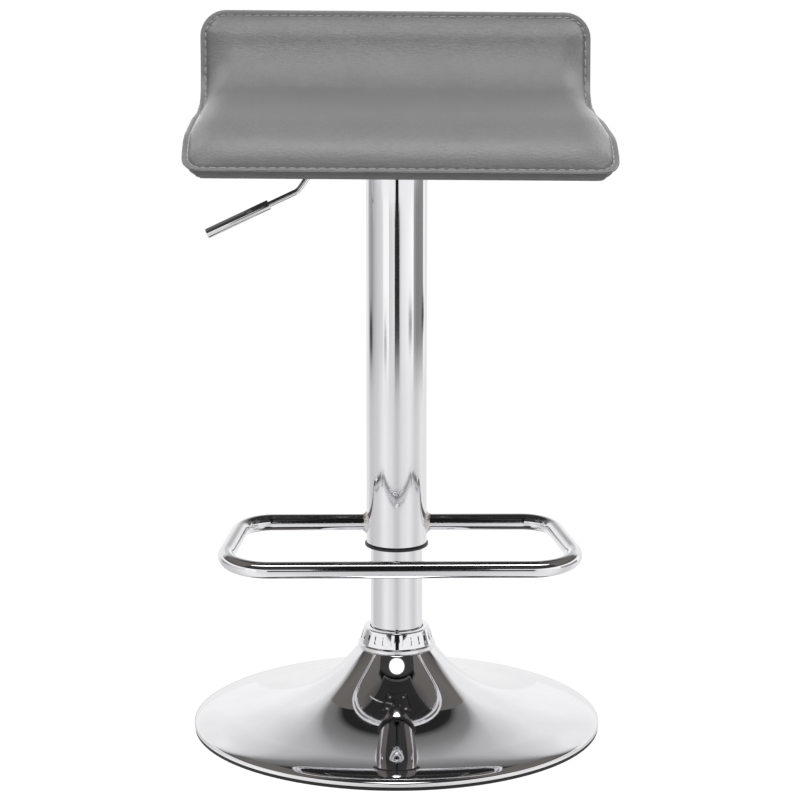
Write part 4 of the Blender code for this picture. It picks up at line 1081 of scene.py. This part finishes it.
card("card_ceiling", (-58, 58), (20, 88), 1.75, ((20, 0.02), (40, 0.045), (88, 0.05)))
card("card_far_wall", (-180, 180), (7, LOW + 2), 4.1, ((7, 1.0), (LOW + 2, 1.0)))


def soft_patch(name, place, turn, half_sizes, shade):
    """A round patch, strongest in the middle, that only the plating mirrors."""
    tree = Tree(name)
    ball = tree.add("TexGradient", {"Vector": tree.place()}, gradient_type="SPHERICAL").outputs["Fac"]
    material = tree.glow(WHITE, shade, tree.spread(ball, 0.0, 1.0, 0.0, 0.55))
    bm = bmesh.new()
    bmesh.ops.create_grid(bm, x_segments=1, y_segments=1, size=1.0)
    made = stage_mesh(name, bm, material, MIRRORED_ONLY)
    made.matrix_world = Matrix.Translation(place) @ turn @ Matrix.Diagonal((*half_sizes, 1.0, 1.0))
    return made


def facing(direction):
    return direction.to_track_quat("Z", "Y").to_matrix().to_4x4()


def light_group(name, lights, pieces, excluded=False):
    """Lets lights reach these pieces alone, or all but these."""
    group = bpy.data.collections.new(name)
    for piece in pieces:
        group.objects.link(piece)
    if excluded:
        for entry in group.collection_objects:
            entry.light_linking.link_state = "EXCLUDE"
    for light in lights:
        light.light_linking.receiver_collection = group


LAMP_GLOW = 6.0
lamp_place = dome_point(0, 62, 1.58)
lamp = soft_patch("card_lamp", lamp_place, facing(-lamp_place), (0.40, 0.17), LAMP_GLOW)
# The seat hides the lamp from the rear of the footrest, so the loop has a lamp of its own, higher up
loop = bpy.data.objects["footrest_loop_plated"]
column = bpy.data.objects["inner_column_plated"]
light_group("all_but_loop", (lamp,), (loop, column), excluded=True)
high_place = Vector((0.0, -0.457, 1.50))
high_turn = facing(Vector((0, -0.13, 0.19)) - high_place)
high_lamp = soft_patch("card_lamp_high", high_place, high_turn, (1.2, 0.12), LAMP_GLOW)
light_group("loop_only", (high_lamp,), (loop,))
# The back wall is lighter towards its corners, which the front of the plate mirrors:
# (name, azimuth to either side, elevation, distance, half sizes, shade)
CORNERS = (("low", 145, 26, 1.50, (0.67, 0.46), 0.92), ("high", 152, 36, 1.62, (0.59, 0.26), 0.56))
for level, azimuth, elevation, distance, half_sizes, shade in CORNERS:
    for word, sign in (("left", -1), ("right", 1)):
        place = dome_point(sign * azimuth, elevation, distance)
        soft_patch(f"card_corner_{level}_{word}", place, facing(-place), half_sizes, shade)
# Dark feet of the stands at the studio's edges, just off the floor: (azimuth, distance, half sizes, shade)
FEET = ((52, 2.30, (0.42, 0.40), 0.05), (-43, 1.95, (0.26, 0.35), 0.30), (-112, 2.00, (0.42, 0.45), 0.03),
        (115, 2.25, (0.45, 0.35), 0.03))
for number, (azimuth, distance, half_sizes, shade) in enumerate(FEET):
    place = dome_point(azimuth, 0, distance) + Vector((0, 0, 0.0002))
    soft_patch(f"card_foot_{number}", place, Matrix.Rotation(math.radians(azimuth), 4, "Z"), half_sizes, shade)

# What the plating sees of the floor: soft shades near the foot, the studio's panels farther out
NEAR_SHADES = (
    (-180, 0.95), (-140, 0.85), (-110, 0.63), (-83, 0.69), (-45, 0.96), (-24, 0.85), (0, 0.65), (27, 0.86),
    (45, 0.93), (77, 0.72), (110, 0.90), (130, 0.86), (180, 0.95))
# (azimuth at its left, at its right, shade at its left, at its right)
PANELS = (
    (-180, -132, 0.95, 0.90), (-132, -125, 0.70, 0.60), (-125, -105, 0.45, 0.34), (-105, -83, 0.34, 0.62),
    (-83, -52, 0.62, 0.79), (-52, -28.5, 1.07, 1.11), (-28.5, -7.5, 0.70, 0.87), (-7.5, 10, 0.03, 0.02),
    (10, 20, 0.66, 0.90), (20, 65, 0.90, 1.15), (65, 80, 0.40, 0.25), (80, 116, 0.24, 0.28),
    (116, 128, 1.05, 1.08), (128, 180, 0.85, 0.95))
PANEL_EDGE = 0.4
NEAR_END, PANELS_START = 1.30, 1.95
FLOOR_REACH = 4.0
WALL_FRONT, WALL_ELSEWHERE = 0.90, 0.60


def bearing_stops(shades):
    """Stops of a ramp that runs once round the stool."""
    return [(azimuth / 360 + 0.5, grey(value)) for azimuth, value in shades]


panel_shades = []
for left_end, right_end, first, last in PANELS:
    panel_shades += [(left_end + PANEL_EDGE, first), (right_end - PANEL_EDGE, last)]
tree = Tree("card_floor")
spot = tree.add("TexCoord").outputs["Object"]
turned = tree.add("Mapping", {"Vector": spot, "Rotation": (0.0, 0.0, math.pi / 2)}).outputs["Vector"]
bearing = tree.add("TexGradient", {"Vector": turned}, gradient_type="RADIAL").outputs["Fac"]
reach = tree.add("VectorMath", {0: spot}, operation="LENGTH").outputs["Value"]
fade = tree.add("Mix", data_type="RGBA")
tree.put(fade.inputs["Factor"], tree.spread(reach, 0.0, 1.0, NEAR_END, PANELS_START))
tree.put(fade.inputs["A"], tree.stops(bearing, bearing_stops(NEAR_SHADES), "EASE"))
tree.put(fade.inputs["B"], tree.stops(bearing, bearing_stops(panel_shades)))
disc = bmesh.new()
bmesh.ops.create_circle(disc, cap_ends=True, radius=FLOOR_REACH, segments=ROUND_STEPS)
raise_rim(disc, lambda place: WALL_FRONT if place.y < -abs(place.x) * 0.45 else WALL_ELSEWHERE)
bmesh.ops.translate(disc, verts=disc.verts, vec=(0.0, 0.0, FLOOR_SINK / 2))
stage_mesh("card_floor", disc, tree.glow(fade.outputs["Result"]), MIRRORED_ONLY)


def soft_light(name, place, target, size, power, glossy=True, diffuse=True):
    data = bpy.data.lights.new(name, "AREA")
    data.shape = "RECTANGLE"
    data.size, data.size_y = size
    data.energy = power
    made = new_object(name, data)
    made.location = place
    made.rotation_euler = (Vector(target) - Vector(place)).to_track_quat("-Z", "Y").to_euler()
    made.visible_glossy = glossy
    made.visible_diffuse = diffuse
    made.visible_camera = False
    return made


# The upholstery has its own lights, which the plating neither mirrors nor needs:
# (name, place, target, size, power, seen in its gloss, lights its colour)
SEAT_LIGHTS = (
    ("light_key", (0.0, -2.64, 4.12), (0.0, 0.0, 0.58), (3.6, 2.4), 226.0, True, True),
    ("light_left", (-1.59, 1.00, 1.70), (-0.19, 0.1, 0.60), (0.7, 0.5), 24.0, True, False),
    ("light_right", (1.59, 1.00, 1.70), (0.19, 0.1, 0.60), (0.7, 0.5), 34.0, True, False),
    ("light_rear_right", (1.56, 1.09, 0.75), (0.19, 0.1, 0.62), (0.4, 0.9), 12.0, True, False),
    ("light_low", (0.0, -1.0, 0.12), (0.0, -0.1, 0.56), (1.6, 0.5), 4.0, False, True),
    ("light_back", (0.0, 2.6, 0.72), (0.0, 0.2, 0.60), (2.4, 0.9), 46.0, True, True),
)
seat_pieces = [piece for piece in scene.objects if piece.name.startswith("seat_") and piece.type == "MESH"]
light_group("upholstery", [soft_light(*settings) for settings in SEAT_LIGHTS], seat_pieces)
light_group("not_lit_by_floor", (floor,), seat_pieces, excluded=True)
soft_light("light_top", (0.0, -0.9, 2.4), (0.0, 0.0, 0.2), (1.6, 1.2), 8.0, glossy=False)
